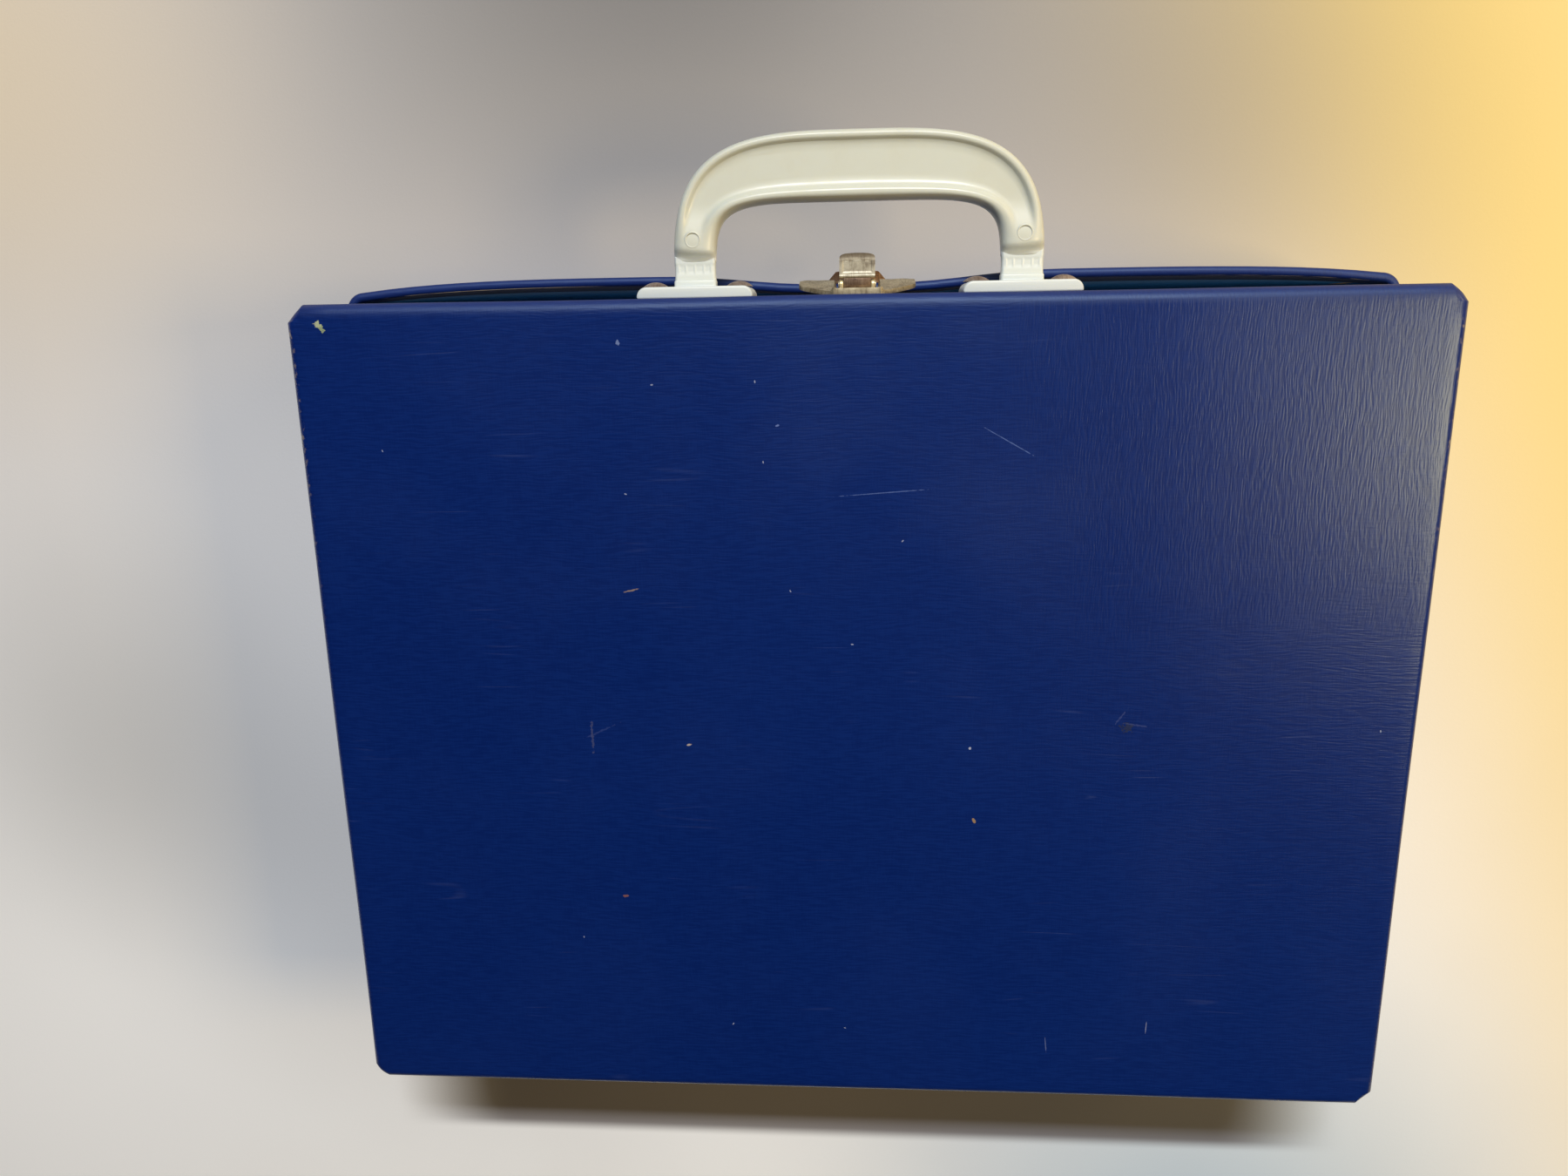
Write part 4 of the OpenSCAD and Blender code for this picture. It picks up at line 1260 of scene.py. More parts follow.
@dataclass
class Handle:
    """The arched grip, its two flexing straps, and the foot plates with their roots.

    Heights are above the wall of the upper half. The grip's outer and inner arch are
    superellipses of their own power, each widest at its spring height.
    """

    wall_y: float
    mid_z: float
    width: float = 108 * MM
    top: float = 46 * MM
    under: float = 26.5 * MM
    gap: float = 83 * MM
    outer_power: float = 3.45
    inner_power: float = 5.8
    outer_spring: float = 1 * MM
    inner_spring: float = 0.0
    foot: float = 10.5 * MM
    shoulder: float = 2.7 * MM
    shoulder_lift: float = 0.3 * MM
    fade_h: float = 15 * MM
    rim_half: float = 4.75 * MM
    web_half: float = 3.25 * MM
    outer_bead: float = 3.4 * MM
    inner_bead: float = 4.2 * MM
    bead_round: float = 0.25
    bead_fall: float = 1.15
    strap_w: float = 12.4 * MM
    strap_t: float = 3 * MM
    strap_edge: float = 0.9 * MM
    strap_in: float = 1.6 * MM
    rib_w: float = 0.28 * MM
    rib_x: tuple = (-4.9 * MM, -2.7 * MM, 0.0, 2.7 * MM, 4.9 * MM)
    rib_share: float = 0.10
    recess_share: float = 0.13
    recess_start: float = 1.2 * MM
    recess_rise: float = 1.6 * MM
    recess_end: float = 0.2 * MM
    recess_fall: float = 1.2 * MM
    waist: float = 0.022
    sunk: float = 0.3 * MM
    root_h: float = 1.9 * MM
    root_d: float = 4.6 * MM
    root_r: float = 0.8 * MM
    root_flare: float = 0.5 * MM
    root_round: float = 0.45 * MM
    bend_h: float = 7.6 * MM
    mark_h: float = 16.5 * MM
    mark_r: float = 2.1 * MM
    mark_fat: float = 0.26 * MM
    mark_flat: float = 0.6
    mark_sunk: float = 0.08 * MM
    foot_x: float = 47.3 * MM
    foot_l: float = 34 * MM
    foot_w: float = 16 * MM
    foot_t: float = 3.4 * MM
    foot_r: float = 2.8 * MM
    foot_round: float = 0.7 * MM

    @property
    def strap_x(self) -> float:
        """Distance from the centre to the middle of a leg."""
        return (self.width + self.gap) / 4

    def arch(self, half_w: float, top: float, power: float, spring: float) -> np.ndarray:
        """Follows a superellipse |x/a|^n + |(y - spring)/b|^n = 1 from foot to foot.

        Args:
            half_w: half its width.
            top: its height at the middle.
            power: the exponent n.
            spring: the height of its widest line.

        Returns:
            Evenly spaced points from the left leg to the right.
        """
        turn = np.linspace(math.pi, 0.0, 400)
        c, s = np.cos(turn), np.sin(turn)
        bow = points(half_w * np.sign(c) * np.abs(c) ** (2 / power),
                     spring + (top - spring) * np.abs(s) ** (2 / power))
        low = (self.foot - spring) / (top - spring)
        foot_x = half_w * (1 - low ** power) ** (1 / power)
        ends = [[-foot_x, self.foot]], [[foot_x, self.foot]]
        return resample(np.concatenate([ends[0], bow[bow[:, 1] > self.foot], ends[1]]), 180)

    def bead(self, a: np.ndarray) -> np.ndarray:
        """Works out the half depth over a rolled rim, which falls softly to the web.

        Args:
            a: the distance from the rim's middle towards the web, in units of its radius.

        Returns:
            The half depth: a half ellipse up to bead_round, and a smooth step past it.
        """
        ellipse = np.sqrt(np.clip(1 - a * a, 0, 1))
        soft = 1 - smoothstep((a - self.bead_round) / self.bead_fall)
        share = np.where(a < self.bead_round, ellipse, soft)
        past_middle = self.web_half + (self.rim_half - self.web_half) * share
        return np.where(a < 0, self.rim_half * ellipse, past_middle)

    def beaded(self, d: np.ndarray, w: np.ndarray) -> np.ndarray:
        """Works out the grip's half depth with its two rolled rims and the web between them.

        Args:
            d: distance from the inner edge.
            w: the grip's width there.

        Returns:
            The half depth.
        """
        inner_r, outer_r = self.inner_bead / 2, self.outer_bead / 2
        return np.where(d < w / 2, self.bead((d - inner_r) / inner_r),
                        self.bead((w - d - outer_r) / outer_r))

    def cushion(self, d: np.ndarray, w: np.ndarray) -> np.ndarray:
        """Returns the half depth of a plain cushion of width w at distance d from its edge, a
        superellipse of power 3."""
        return self.rim_half * np.clip(1 - np.abs(2 * d / w - 1) ** 3, 0, 1) ** (1 / 3)

    def two_faced(self, x: np.ndarray, y: np.ndarray, half: np.ndarray) -> np.ndarray:
        """Makes closed rows of points on both sides of the handle's middle plane.

        Args:
            x: the points' places along X.
            y: their places along Y.
            half: their distance from the middle plane.

        Returns:
            The front's points, and then the back's the other way.
        """
        back = points(x, y, self.mid_z - half)
        return np.concatenate([points(x, y, self.mid_z + half), back[:, -2:0:-1]], 1)

    def build_grip(self) -> None:
        """Builds the grip by sweeping its section between the inner and the outer arch. The
        section turns from rims and web into a cushion down the legs, and draws in to the
        strap's thickness under a shoulder that hangs lowest in the middle."""
        outer = self.arch(self.width / 2, self.top, self.outer_power, self.outer_spring)
        inner = self.arch(self.gap / 2, self.under, self.inner_power, self.inner_spring)
        width = np.linalg.norm(outer - inner, axis=1)[:, None]
        near = 0.5 * (1 - np.cos(math.pi * np.linspace(0.0, 1.0, 17)))
        inner_part = np.tile(near * self.inner_bead, (len(width), 1))
        between = width - self.inner_bead - self.outer_bead
        web = self.inner_bead + between * np.linspace(0.1, 0.9, 7)
        d = np.concatenate([inner_part, web, width - near[::-1] * self.outer_bead], 1)
        t = (d / width)[:, :, None]
        x, tall = np.moveaxis(inner[:, None, :] * (1 - t) + outer[:, None, :] * t, -1, 0)
        fade = smoothstep((tall - self.fade_h) / (self.under - self.fade_h))
        half = self.cushion(d, width) * (1 - fade) + self.beaded(d, width) * fade
        lift = self.shoulder_lift * (2 * d / width - 1) ** 2
        low_end = np.minimum(outer[:, 1], inner[:, 1])[:, None]
        shoulder = smoothstep((low_end - self.foot - lift) / self.shoulder)
        thin = self.strap_t / 2 / self.rim_half
        half = half * (thin + (1 - thin) * shoulder)
        grip = surface("handle_moulding", self.two_faced(x, self.wall_y + tall, half), caps=True)
        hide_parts("handle_grip")
        ride(grip, Body.HANDLE, IVORY_PLASTIC)

    def build_mark(self, side: Side) -> None:
        """Builds the raised rings that the mould left on the two faces of a leg.

        Args:
            side: which leg.
        """
        turn = np.linspace(0.0, 2 * math.pi, 40, endpoint=False)[:, None]
        tube = np.linspace(0.0, 2 * math.pi, 10, endpoint=False)
        out = self.mark_r + self.mark_fat * np.cos(tube)
        x = out * np.cos(turn)
        bulge = self.rim_half * (1 - np.abs(x / (self.strap_w / 2)) ** 3) ** (1 / 3)
        lift = bulge - self.mark_sunk + self.mark_fat * self.mark_flat * np.sin(tube)
        y = self.wall_y + self.mark_h + out * np.sin(turn)
        rings = [points(side.value * self.strap_x + x, y, self.mid_z + face * lift)
                 for face in (-1, 1)]
        faces = grid_faces(*x.shape, True, True)
        mark = tidy_mesh(make_mesh(f"mould_mark_{side.name.lower()}", np.concatenate(rings),
                                   np.concatenate([faces, faces + x.size]).tolist()))
        ride(mark, Body.HANDLE, IVORY_PLASTIC)

    def build_strap(self, side: Side) -> None:
        """Builds one flexing strap: a rounded strip, a little waisted, with a shallow recess and
        upright ribs in it, that runs from the foot plate up into the grip.

        Args:
            side: which strap.
        """
        half_w, half_t = self.strap_w / 2, self.strap_t / 2
        root_top = self.foot_t + self.root_h
        height = np.linspace(self.foot_t - self.sunk, self.foot + self.strap_in, 36)[:, None]
        across = np.linspace(-1.0, 1.0, 81) * half_w
        from_edge = np.clip((half_w - np.abs(across)) / self.strap_edge, 0, 1)
        edge = half_t * np.sqrt(1 - (1 - from_edge) ** 2)
        rising = smoothstep((height - root_top - self.recess_start) / self.recess_rise)
        recess = rising * smoothstep((self.foot - self.recess_end - height) / self.recess_fall)
        ribs = sum(np.exp(-((across - rib) / self.rib_w) ** 2) for rib in self.rib_x)
        thin = 1.0 - self.recess_share * recess + self.rib_share * ribs * recess ** 2
        along = np.clip((height - root_top) / (self.foot - root_top), 0, 1)
        x = side.value * self.strap_x + across * (1.0 - self.waist * np.sin(math.pi * along))
        grid = self.two_faced(x, self.wall_y + height, edge * thin)
        strap = surface(f"strap_{side.name.lower()}", grid, caps=True)
        bend_between(strap, Body.LID, Body.HANDLE, WHITENED_PLASTIC)

    def build_root(self, side: Side) -> None:
        """Builds the thickened root that the strap rises from: a block with rounded edges that
        flares by a quarter circle into the foot plate.

        Args:
            side: which strap.
        """
        half_w, half_d, r = self.strap_w / 2, self.root_d / 2, self.root_r
        low = self.wall_y + self.foot_t
        high = low + self.root_h
        rise, turn_in = arc((0.0, 0.0), 1.0, 0, 90, 6).T
        heights = np.concatenate([[low - self.sunk], low + self.root_flare * (1 - rise),
                                  high - self.root_round * (1 - turn_in)])
        grow = np.concatenate([[self.root_flare], self.root_flare * (1 - turn_in),
                               -self.root_round * (1 - rise)])
        quarter = arc((half_w - r, half_d - r), r, 0, 90, 5)
        outline = np.concatenate([quarter, quarter[::-1] * [-1, 1], quarter * [-1, -1],
                                  quarter[::-1] * [1, -1]])
        outward = np.sign(outline) * np.minimum(1.0, np.abs(outline) / np.array([half_w, half_d]))
        grown = outline + outward * grow[:, None, None]
        grid = points(side.value * self.strap_x + grown[..., 0], heights[:, None],
                      self.mid_z + grown[..., 1])
        root = surface(f"strap_root_{side.name.lower()}", grid, caps=True)
        ride(root, Body.LID, WHITENED_PLASTIC)

    def build_foot(self, side: Side) -> None:
        """Builds a foot plate whose front view has rounded upper corners, with softened edges.

        Args:
            side: which foot.
        """
        half_l, r = self.foot_l / 2, self.foot_r
        corner = arc((half_l - r, self.foot_t - r), r, 0, 90, 8)
        outline = np.concatenate([[[half_l, 0.0]], corner, corner[::-1] * [-1, 1],
                                  [[-half_l, 0.0]]])
        depth = np.linspace(-self.foot_w / 2, self.foot_w / 2, 3)[:, None]
        grid = points(side.value * self.foot_x + outline[:, 0], self.wall_y + outline[:, 1],
                      self.mid_z + depth)
        plate = surface(f"foot_plate_{side.name.lower()}", grid, caps=True)
        bevel(plate, self.foot_round, 3)
        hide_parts(f"handle_foot_{side.name.lower()}")
        ride(plate, Body.LID, WHITENED_PLASTIC)

    def build(self) -> None:
        """Builds the whole handle."""
        self.build_grip()
        for side in Side:
            self.build_mark(side)
        for side in Side:
            self.build_strap(side)
            self.build_root(side)
            self.build_foot(side)


# The clasp


@dataclass
class Clasp:
    """The winged plate, the bent-sheet lever and the keeper.

    The lever's sizes are measured from the pin.
    """

    wall_y: float
    plate_front: float
    plate_back: float
    pin_y: float
    pin_z: float
    lever_top: float
    hook_end: float
    half_l: float = 17.5 * MM
    half_lip: float = 7.5 * MM
    lip_rise: float = 2.2 * MM
    lip_w: float = 2.4 * MM
    flat_x: float = 5.75 * MM
    root_x: float = 6.9 * MM
    sheet: float = 1.2 * MM
    rise: float = 4.0 * MM
    sweep_power: float = 1.15
    lip_soft: float = 0.5 * MM
    lip_slope: float = 0.7 * MM
    dent: float = 0.07 * MM
    dent_waves: tuple = ((1.3 * MM, 60), (2.9 * MM, -31))
    tip_w: float = 9 * MM
    tip_r: float = 2.2 * MM
    ear_x: float = 4.7 * MM
    ear_t: float = 1.2 * MM
    knuckle_r: float = 1.5 * MM
    knuckle_t: float = 0.55 * MM
    knuckle_play: float = 0.05 * MM
    lever_w: float = 10.6 * MM
    lever_t: float = 1.1 * MM
    bend: float = 2.2 * MM
    roll_r: float = 0.6 * MM
    face_h: float = 1.8 * MM
    hook_h: float = 2.9 * MM
    cap_h: float = 1.5 * MM
    cap_round: float = 0.8 * MM
    cap_arch: float = 0.28 * MM
    cap_drop: float = 0.30 * MM
    pressed: float = 0.12 * MM
    pressed_fall: float = 0.6 * MM
    bowed: float = 0.10 * MM
    face_reach: float = 0.35 * MM
    panel_side: float = 0.75 * MM
    panel_foot: float = 1.35 * MM
    panel_top: float = 1.75 * MM
    panel_arch: float = 0.3 * MM
    hook_cut: float = 0.4 * MM
    inner_top: float = 1.0 * MM
    inner_foot: float = 0.1 * MM
    plate_round: float = 0.28 * MM
    ear_round: float = 0.25 * MM
    lever_round: float = 0.16 * MM
    knuckle_round: float = 0.12 * MM
    keeper_narrowing: tuple = (0.30, 0.50)

    def build_plate(self) -> None:
        """Builds the plate as a sheet over a winged plan. The middle is flat with a raised front
        lip, and each wing is a broad face that slopes up towards its back edge. The wings' front
        edges sweep back, and the corners of their ends are quarter circles."""
        x = self.half_l * np.sin(np.linspace(-math.pi / 2, math.pi / 2, 141))
        away = np.abs(x)
        deep = np.concatenate([np.linspace(0.0, 0.16, 9), np.linspace(0.2, 1.0, 17)])[:, None]
        out = np.clip((away - self.root_x) / (self.half_l - self.root_x), 0.0, 1.0)
        past = np.clip(away - self.half_l + self.tip_r, 0.0, self.tip_r)
        corner = self.tip_r - np.sqrt(self.tip_r ** 2 - past ** 2)
        span = self.plate_front - self.plate_back
        front = self.plate_front - (span - self.tip_w) * out ** self.sweep_power - corner
        z = front * (1 - deep) + (self.plate_back + corner) * deep
        from_front = self.plate_front - z
        wing = smoothstep((away - self.flat_x) / (self.root_x - self.flat_x))
        under_y = self.wall_y + self.rise * wing * from_front / span
        lip_end = smoothstep((self.half_lip - away) / self.lip_soft + 0.5)
        lip = lip_end * (1 - smoothstep((from_front - self.lip_w + self.lip_soft) / self.lip_slope))
        along = z / self.half_l
        short, long = (np.sin(x / reach + turns * along) for reach, turns in self.dent_waves)
        dents = self.dent * short * long
        y = under_y + self.sheet + (self.lip_rise - self.sheet) * lip + dents * wing
        grid = np.concatenate([points(x, y, z), points(x, under_y, z)[::-1]])
        plate = surface("clasp_plate_pressing", grid, wrap_rows=True, wrap_cols=False, fill=True)
        bevel(plate, self.plate_round, 3, 50)
        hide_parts("clasp_plate")
        ride(plate, Body.LID, BRASSY_PLATE)

    def build_ear(self, side: Side) -> None:
        """Builds one ear that holds the pin: a tab with a round top.

        Args:
            side: which ear.
        """
        r, low = self.knuckle_r, self.wall_y + self.sheet / 2
        top = arc((self.pin_y, self.pin_z), r, 90, -90, 17)
        outline = np.concatenate([[[low, self.pin_z + r]], top, [[low, self.pin_z - r]]])
        middle, half = side.value * self.ear_x, self.ear_t / 2
        tab = prism(f"clasp_ear_{side.name.lower()}", outline, (middle - half, middle + half))
        bevel(tab, self.ear_round, 3)
        ride(tab, Body.LID, EAR_METAL)

    def lever_profile(self) -> np.ndarray:
        """Works out the lever's side view as a closed outline, in distance behind the pin and
        height above it: the rolled lower edge, the face, the bend over the top, the hook, and
        the same way back at the sheet's inner side.

        Returns:
            The outline's points.
        """
        r, t, bend, roll, hook = self.knuckle_r, self.lever_t, self.bend, self.roll_r, self.hook_end
        top = self.lever_top - self.pin_y
        foot = self.face_h + roll
        start = foot + roll * math.sin(math.radians(120.0))
        face = start + (top - bend - foot - 0.5 * roll) * np.linspace(0.05, 0.97, 20)
        crown = np.linspace(bend - r, hook - bend / 2, 10)[1:-1]
        return np.concatenate([
            arc((roll / 2 - r, foot), roll, 330, 120, 15),
            points(-r, face),
            arc((bend - r, top - bend), bend, 180, 90, 14),
            points(crown, top),
            arc((hook - bend / 2, top - bend / 2), bend / 2, 90, 0, 7),
            [[hook, top - self.hook_h], [hook - t, top - self.hook_h],
             [hook - t, top - t - self.hook_cut], [hook - t - self.hook_cut, top - t]],
            arc((bend - r, top - bend), bend - t, 90, 180, 14),
            [[t - r, top - bend - self.inner_top], [t - r, foot + self.inner_foot]],
        ])

    def build_lever(self) -> None:
        """Builds the lever: its profile carried across X, with the top slightly arched and its
        corners rounded, and a shallow panel pressed into the face."""
        back, up = self.lever_profile().T
        top = self.lever_top - self.pin_y
        across = np.sin(np.linspace(-math.pi / 2, math.pi / 2, 49))[:, None]
        upper = np.clip((up - (top - self.cap_h)) / self.cap_h, 0.0, 1.0)
        half_w = self.lever_w / 2
        x = across * (half_w - self.cap_round * (1 - np.sqrt(1 - (0.98 * upper) ** 2)))
        arch = upper * (self.cap_arch * (1 - across ** 2) - self.cap_drop * across ** 8)
        on_face = back < self.face_reach - self.knuckle_r
        from_side = half_w - self.panel_side - np.abs(x)
        from_roll = up - self.face_h - self.panel_foot
        from_cap = top - self.panel_top + self.panel_arch * (1 - across ** 2) - up
        inside = np.minimum(np.minimum(from_side, from_roll), from_cap)
        panel = self.pressed * smoothstep(inside / self.pressed_fall)
        inwards = panel - self.bowed * (1 - across ** 2)
        grid = points(x, self.pin_y + up + arch, self.pin_z - back - inwards * on_face)
        sheet = surface("lever_sheet", grid, caps=True)
        bevel(sheet, self.lever_round, 2, 50)
        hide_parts("clasp_lever")
        ride(sheet, Body.CLASP, LEVER_PLATE)

    def build_knuckle(self) -> None:
        """Builds the narrower knuckle, which curls round the pin between the ears."""
        outer_r, inner_r = self.knuckle_r, self.knuckle_r - self.knuckle_t
        neck = self.face_h + self.roll_r
        curl = np.concatenate([
            [[-outer_r, neck]], arc((0.0, 0.0), outer_r, -180, 130, 36),
            arc((0.0, 0.0), inner_r, 130, -180, 36), [[-inner_r, neck]],
        ])
        outline = points(self.pin_y + curl[:, 1], self.pin_z - curl[:, 0])[::-1]
        half = self.ear_x - self.ear_t / 2 - self.knuckle_play
        knuckle = prism("lever_knuckle", outline, (-half, half))
        bevel(knuckle, self.knuckle_round, 2, 50)
        ride(knuckle, Body.CLASP, RUSTY_RECESS)

    def build_keeper(self) -> None:
        """Builds the keeper: a lozenge with pointed ends, whose four faces rise evenly to a low
        crest, 0.7 of its length and half of its width, with softened edges."""
        low, high = np.array(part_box("keeper"))
        half_l, half_w = (high[0] - low[0]) / 2, (high[2] - low[2]) / 2
        mid_z = (high[2] + low[2]) / 2
        shoulder = half_l / 3
        corners = np.array([[half_l, 0.0], [shoulder, half_w], [-shoulder, half_w], [-half_l, 0.0],
                            [-shoulder, -half_w], [shoulder, -half_w], [half_l, 0.0]])
        rim = resample(corners, 121)[:-1]
        height = np.array([0.0, 0.12, 0.17, 0.3, 0.5, 0.7, 0.86, 0.95, 0.99, 1.0, 1.0])
        up = np.clip((height - 0.15) / 0.85, 0.0, 1.0)
        share_x, share_z = (1 - narrowing * up for narrowing in self.keeper_narrowing)
        share_x[-3:] = (0.66, 0.45, 0.0)
        share_z[-3:] = (0.44, 0.3, 0.0)
        y = low[1] + height * (high[1] - low[1])
        grid = points(share_x[:, None] * rim[:, 0], y[:, None],
                      mid_z + share_z[:, None] * rim[:, 1])
        floor = points(0.0, grid[:1, :, 1], mid_z)
        keeper = surface("keeper_pressing", np.concatenate([floor, grid]))
        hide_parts("keeper")
        # the keeper's finish carries painted light
        ride(keeper, Body.BASE, RUSTY_STEEL_PAINTED_LIGHT)

    def build(self) -> None:
        """Builds the whole clasp."""
        self.build_plate()
        for side in Side:
            self.build_ear(side)
        self.build_lever()
        self.build_knuckle()
        self.build_keeper()


@dataclass
class Hinge:
    """The vinyl hinge strip, which creases along the seam."""

    node: str = "hinge_strip"
    crease: float = 1.5 * MM
    crease_depth: float = 0.25 * MM
    crease_w: float = 0.6 * MM
    weld_lines: tuple = (3.2 * MM, 5.2 * MM)
    weld_depth: float = 0.22 * MM
    weld_w: float = 0.5 * MM
    soft_edge: float = 0.9 * MM

    def build(self) -> None:
        """Builds the strip: a thin sheet with softened long edges, two pressed weld lines and a
        shallow crease on the seam, each a bell curve exp(-(distance / width)^2)."""
        low, high = np.array(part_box(self.node))
        mid = (low[2] + high[2]) / 2
        thick = high[1] - low[1]
        zs = np.unique(np.concatenate([np.linspace(low[2], high[2], 41),
                                       mid + np.linspace(-2, 2, 17) * MM]))
        from_end = np.minimum(zs - low[2], high[2] - zs)
        weld = sum(np.exp(-((from_end - line) / self.weld_w) ** 2) for line in self.weld_lines)
        out = thick * (0.35 + 0.65 * smoothstep(from_end / self.soft_edge)) - self.weld_depth * weld
        out = out - self.crease_depth * np.exp(-((zs - mid) / self.crease_w) ** 2)
        section = np.concatenate([points(high[1] - out, zs), points(high[1], zs)[::-1]])
        strip = prism("hinge_vinyl", section, np.linspace(low[0], high[0], 60))
        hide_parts(self.node)
        bend_between(strip, Body.BASE, Body.LID, BASE_VINYL)


# The studio


@dataclass
class Studio:
    """Floor, lamps and the camera at the photograph's view, in metres and watts.

    A lamp has a name, a place, a length and height, a power and a tint. A drift is a patch of
    painted light or shade on the floor, with a centre, a reach, a tint and a share.
    """

    eye: tuple = (-0.0004, 0.1195, 0.3938)
    aim: tuple = (-0.0218, 0.0442, 0.080)
    roll: float = -1.0
    lens: float = 25.04
    sensor: float = 36.0
    lamps: tuple = (("Sky window", (0.05, 1.35, 1.55), (0.8, 0.1), 38.0, (0.95, 0.97, 1.0)),
                    ("Warm window", (0.65, 0.04, 0.72), (0.28, 0.28), 3.8, (1.0, 0.74, 0.36)),
                    ("Low lamp", (0.75, 0.5, 0.45), (0.3, 0.3), 1.6, (1.0, 0.66, 0.24)))
    lamp_aim: tuple = (0.0, 0.0, 0.05)
    sky_tint: tuple = (0.86, 0.92, 1.0, 1.0)
    sky_power: float = 0.035
    floor_half: float = 3.0
    paper: tuple = colour(248, 250, 252)
    # grey for the random mottle, and for the painted shade beyond the handle
    paper_mottle_and_shade: tuple = colour(206, 202, 200)
    # painted light: yellow laid on the floor as the warm lamp's pool of light
    painted_warm_light: tuple = colour(232, 204, 110)
    # painted shadow: brown for the case's cast shadow on the floor along the hinge side
    painted_shadow_brown: tuple = colour(70, 54, 56)
    paper_rough: float = 0.9
    paper_gloss: float = 0.2
    tooth: float = 0.12
    tooth_depth: float = 0.3 * MM
    mottle_share: float = 0.2
    painted_shade_share: float = 0.8
    painted_warm_share: float = 0.8
    painted_shadow_share: float = 0.75
    painted_shade_y: tuple = (-0.20, 0.20)
    painted_warm_slant: tuple = (0.12, 0.31)
    # the painted shadow's band: its edges along Y, and its ends along X
    painted_shadow_from: tuple = (-0.2145, -0.2085)
    painted_shadow_to: tuple = (-0.12, -0.08)
    foot_x: tuple = (0.145, 0.20)
    # painted light and shade on the floor: the grey, brown and blue patches are painted shade, the
    # white and warm ones painted light
    light_and_shade_drifts: tuple = (((-0.06, 0.28, 0.0), 0.28, colour(118, 118, 120), 1.0),
                     ((-0.34, -0.22, 0.0), 0.26, colour(255, 255, 255), 0.9),
                     ((-0.19, -0.08, 0.0), 0.16, colour(196, 196, 198), 0.7),
                     ((-0.32, 0.22, 0.0), 0.16, colour(220, 204, 176), 0.8),
                     ((-0.30, -0.04, 0.0), 0.12, colour(150, 150, 150), 0.4),
                     ((0.115, 0.18, 0.0), 0.14, colour(60, 54, 44), 0.32),
                     ((0.14, -0.26, 0.0), 0.20, colour(120, 165, 205), 0.58))

    def build_camera(self) -> None:
        """Places the camera and turns it about its own axis by the roll."""
        data = bpy.data.cameras.new("Camera")
        data.lens = self.lens
        data.sensor_width = self.sensor
        data.sensor_fit = "HORIZONTAL"
        data.clip_start = 0.01
        camera = bpy.data.objects.new("Camera", data)
        bpy.context.scene.collection.objects.link(camera)
        forward = (Vector(self.aim) - Vector(self.eye)).normalized()
        right = forward.cross(Vector((0, 1, 0))).normalized()
        up = right.cross(forward)
        turn = math.radians(self.roll)
        right_turned = right * math.cos(turn) + up * math.sin(turn)
        up_turned = up * math.cos(turn) - right * math.sin(turn)
        basis = Matrix((right_turned, up_turned, -forward)).transposed().to_4x4()
        camera.matrix_world = Matrix.Translation(self.eye) @ basis
        bpy.context.scene.camera = camera

    def build_lamp(self, name: str, place: tuple, size: tuple, power: float, tint: tuple) -> None:
        """Adds an area lamp that points at the case.

        Args:
            name: the lamp's name.
            place: where it hangs.
            size: its length and height.
            power: its power in watts.
            tint: its colour.
        """
        data = bpy.data.lights.new(name, "AREA")
        data.shape = "RECTANGLE"
        data.energy = power
        data.size, data.size_y = size
        data.color = tint
        lamp = bpy.data.objects.new(name, data)
        bpy.context.scene.collection.objects.link(lamp)
        lamp.location = place
        towards = Vector(self.lamp_aim) - Vector(place)
        lamp.rotation_euler = towards.to_track_quat("-Z", "Y").to_euler()

    def paper_tone(self, nodes: NodeTree, place: Socket) -> Socket:
        """Paints light and shade into the floor's tone: painted shade beyond the case's handle, a
        painted yellow pool of light towards the warm lamp, painted patches of light and shade from
        the drift list, and a painted brown shadow along the foot of the hinge side.

        Args:
            nodes: the floor's tree.
            place: the place on the floor.

        Returns:
            The floor's colour.
        """
        x, y, _ = nodes.add("SeparateXYZ", Vector_in=place).outputs
        mottle = nodes.ramp(nodes.noise(place, 5.0), 0.3, 0.7)
        tone = nodes.over(self.paper, self.paper_mottle_and_shade, mottle, self.mottle_share)
        # painted shade: the floor darkens along Y beyond the case's handle, standing in for a soft
        # shadow
        tone = nodes.over(tone, self.paper_mottle_and_shade, nodes.ramp(y, *self.painted_shade_y), self.painted_shade_share)
        # painted light: the floor turns yellow towards the warm lamp, a painted pool of warm light
        warm = nodes.ramp(nodes.total(x, (y, 0.5)), *self.painted_warm_slant)
        tone = nodes.over(tone, self.painted_warm_light, warm, self.painted_warm_share)
        # each drift paints a soft patch of light or shade onto the floor
        for centre, reach, tint, share in self.light_and_shade_drifts:
            away = nodes.vector("DISTANCE", i0_in=place, i1_in=centre).outputs[1]
            tone = nodes.over(tone, tint, nodes.fall(away, 0.0, reach), share)
        # painted shadow: a brown band on the floor beside the hinge side, where the case casts its
        # shadow
        across = nodes.fall(nodes.math("ABSOLUTE", x), *self.foot_x)
        foot = nodes.times(nodes.ramp(y, *self.painted_shadow_from), across)
        foot = nodes.times(foot, nodes.fall(y, *self.painted_shadow_to))
        return nodes.over(tone, self.painted_shadow_brown, foot, self.painted_shadow_share)

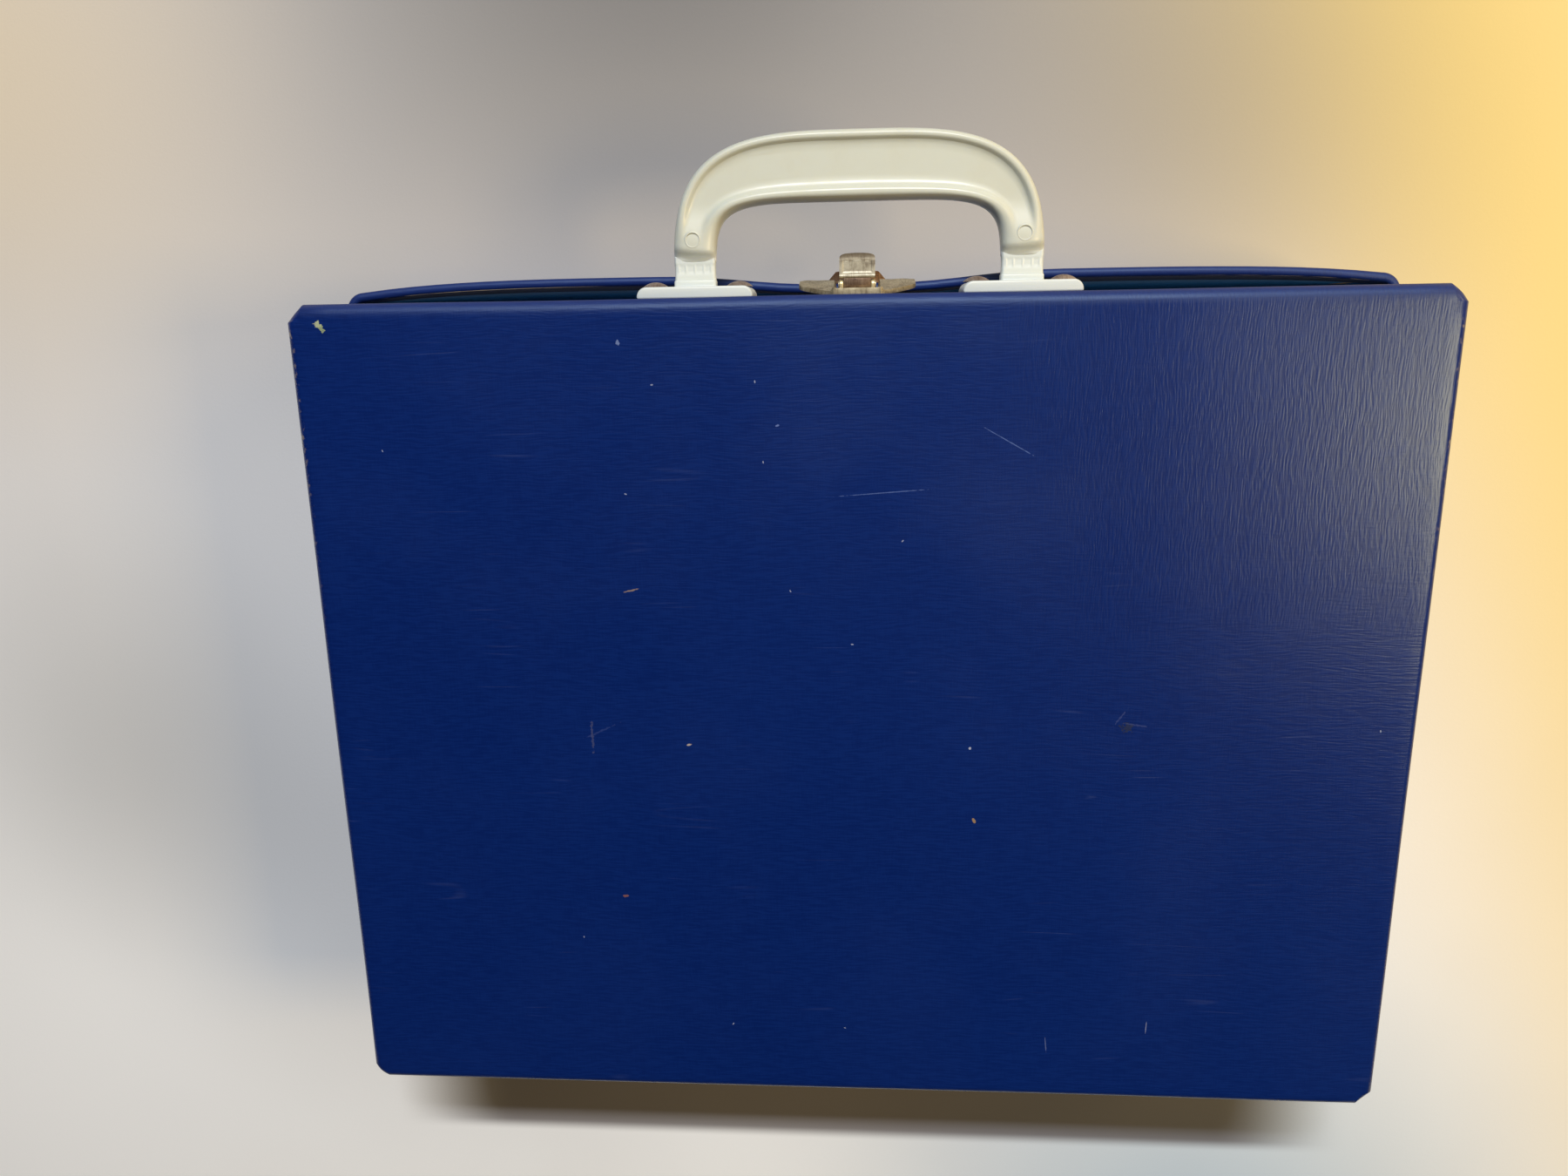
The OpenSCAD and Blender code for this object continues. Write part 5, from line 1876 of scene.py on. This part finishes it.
    def build_floor(self) -> None:
        """Lays a pale paper floor, with painted light and shade in its tone, and a faint tooth."""
        corners = np.array([[-1, -1, 0], [1, -1, 0], [1, 1, 0], [-1, 1, 0]]) * self.floor_half
        floor = make_mesh("floor", corners, [[0, 1, 2, 3]])
        material = bpy.data.materials.new("Pale floor")
        material.use_nodes = True
        nodes = NodeTree(material.node_tree)
        shader = material.node_tree.nodes["Principled BSDF"]
        place = nodes.add("TexCoord").outputs["Object"]
        nodes.join(self.paper_tone(nodes, place), shader.inputs["Base Color"])
        shader.inputs["Roughness"].default_value = self.paper_rough
        shader.inputs["Specular IOR Level"].default_value = self.paper_gloss
        nodes.bump(shader, nodes.noise(place, 900.0, 4.0), self.tooth, self.tooth_depth)
        floor.data.materials.append(material)

    def build_sky(self) -> None:
        """Sets a soft, even sky."""
        world = bpy.data.worlds.new("Soft sky")
        bpy.context.scene.world = world
        world.use_nodes = True
        back = world.node_tree.nodes["Background"]
        back.inputs[0].default_value = self.sky_tint
        back.inputs[1].default_value = self.sky_power

    def build(self) -> None:
        """Builds the studio and sets the plain view transform."""
        bpy.context.scene.view_settings.view_transform = "Standard"
        self.build_camera()
        self.build_floor()
        self.build_sky()
        for lamp in self.lamps:
            self.build_lamp(*lamp)


def dress_cad_nodes() -> None:
    """Gives each CAD node that still shows its finish."""
    dressed = (
        (CHIPBOARD, ("base_panel_board", "base_wall_boards", "flap_board", "lid_panel_board",
                     "lid_wall_boards")),
        (RUSTY_STEEL_PAINTED_LIGHT, ("keeper_rivet",)),
        (DULL_RIVET, ("handle_rivets", "clasp_rivets")),
        (NICKEL_PLATE, ("keeper_washer", "handle_washers", "clasp_backing", "clasp_spring",
                        "clasp_pin")),
    )
    for finish, names in dressed:
        for node in names:
            finish.put_on(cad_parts[node])
            LOG.info("dressed %s", node)


def main() -> None:
    """Builds the studio and every sub-assembly in order."""
    logging.basicConfig(level=logging.INFO, format="%(name)s: %(message)s")
    Studio().build()
    lid_low, lid_high = np.array(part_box("lid_cover"))
    base_low, base_high = np.array(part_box("base_cover"))
    plate_low, plate_high = np.array(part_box("clasp_plate"))
    lever_low, lever_high = np.array(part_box("clasp_lever"))
    case_depth = lid_high[2]
    lid_outline = Outline(lid_high[0], lid_low[1], lid_high[1], low_r=5 * MM, high_r=5 * MM,
                          clipped=(0.9, 0.7, 0.9, 0.4))
    base_outline = Outline(base_high[0], base_low[1], base_high[1], low_r=5 * MM, high_r=6 * MM,
                           bow=3.2 * MM)
    lid_skin = Skin(Body.LID, lid_outline, case_depth - lid_low[2], turned=True,
                    case_depth=case_depth, seed=5)
    lid_skin.build(PANEL_VINYL, ("lid_cover",), ("lid_lining",))
    base_skin = Skin(Body.BASE, base_outline, base_high[2], case_depth=case_depth, seed=8)
    base_skin.build(BASE_VINYL, ("base_cover", "flap_cover"), ("base_lining", "flap_lining"))
    CarTray("base_tray", "base_dividers", Body.BASE, turned=False).build()
    CarTray("lid_tray", "lid_dividers", Body.LID, turned=True).build()
    Handle(wall_y=lid_high[1], mid_z=np.mean(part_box("handle_foot_left"), axis=0)[2]).build()
    _, pin_y, pin_z = np.mean(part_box("clasp_pin"), axis=0)
    Clasp(wall_y=lid_high[1], plate_front=plate_high[2], plate_back=plate_low[2],
          pin_y=pin_y, pin_z=pin_z, lever_top=lever_high[1],
          hook_end=pin_z - lever_low[2]).build()
    Hinge().build()
    dress_cad_nodes()


if __name__ == "__main__":
    main()
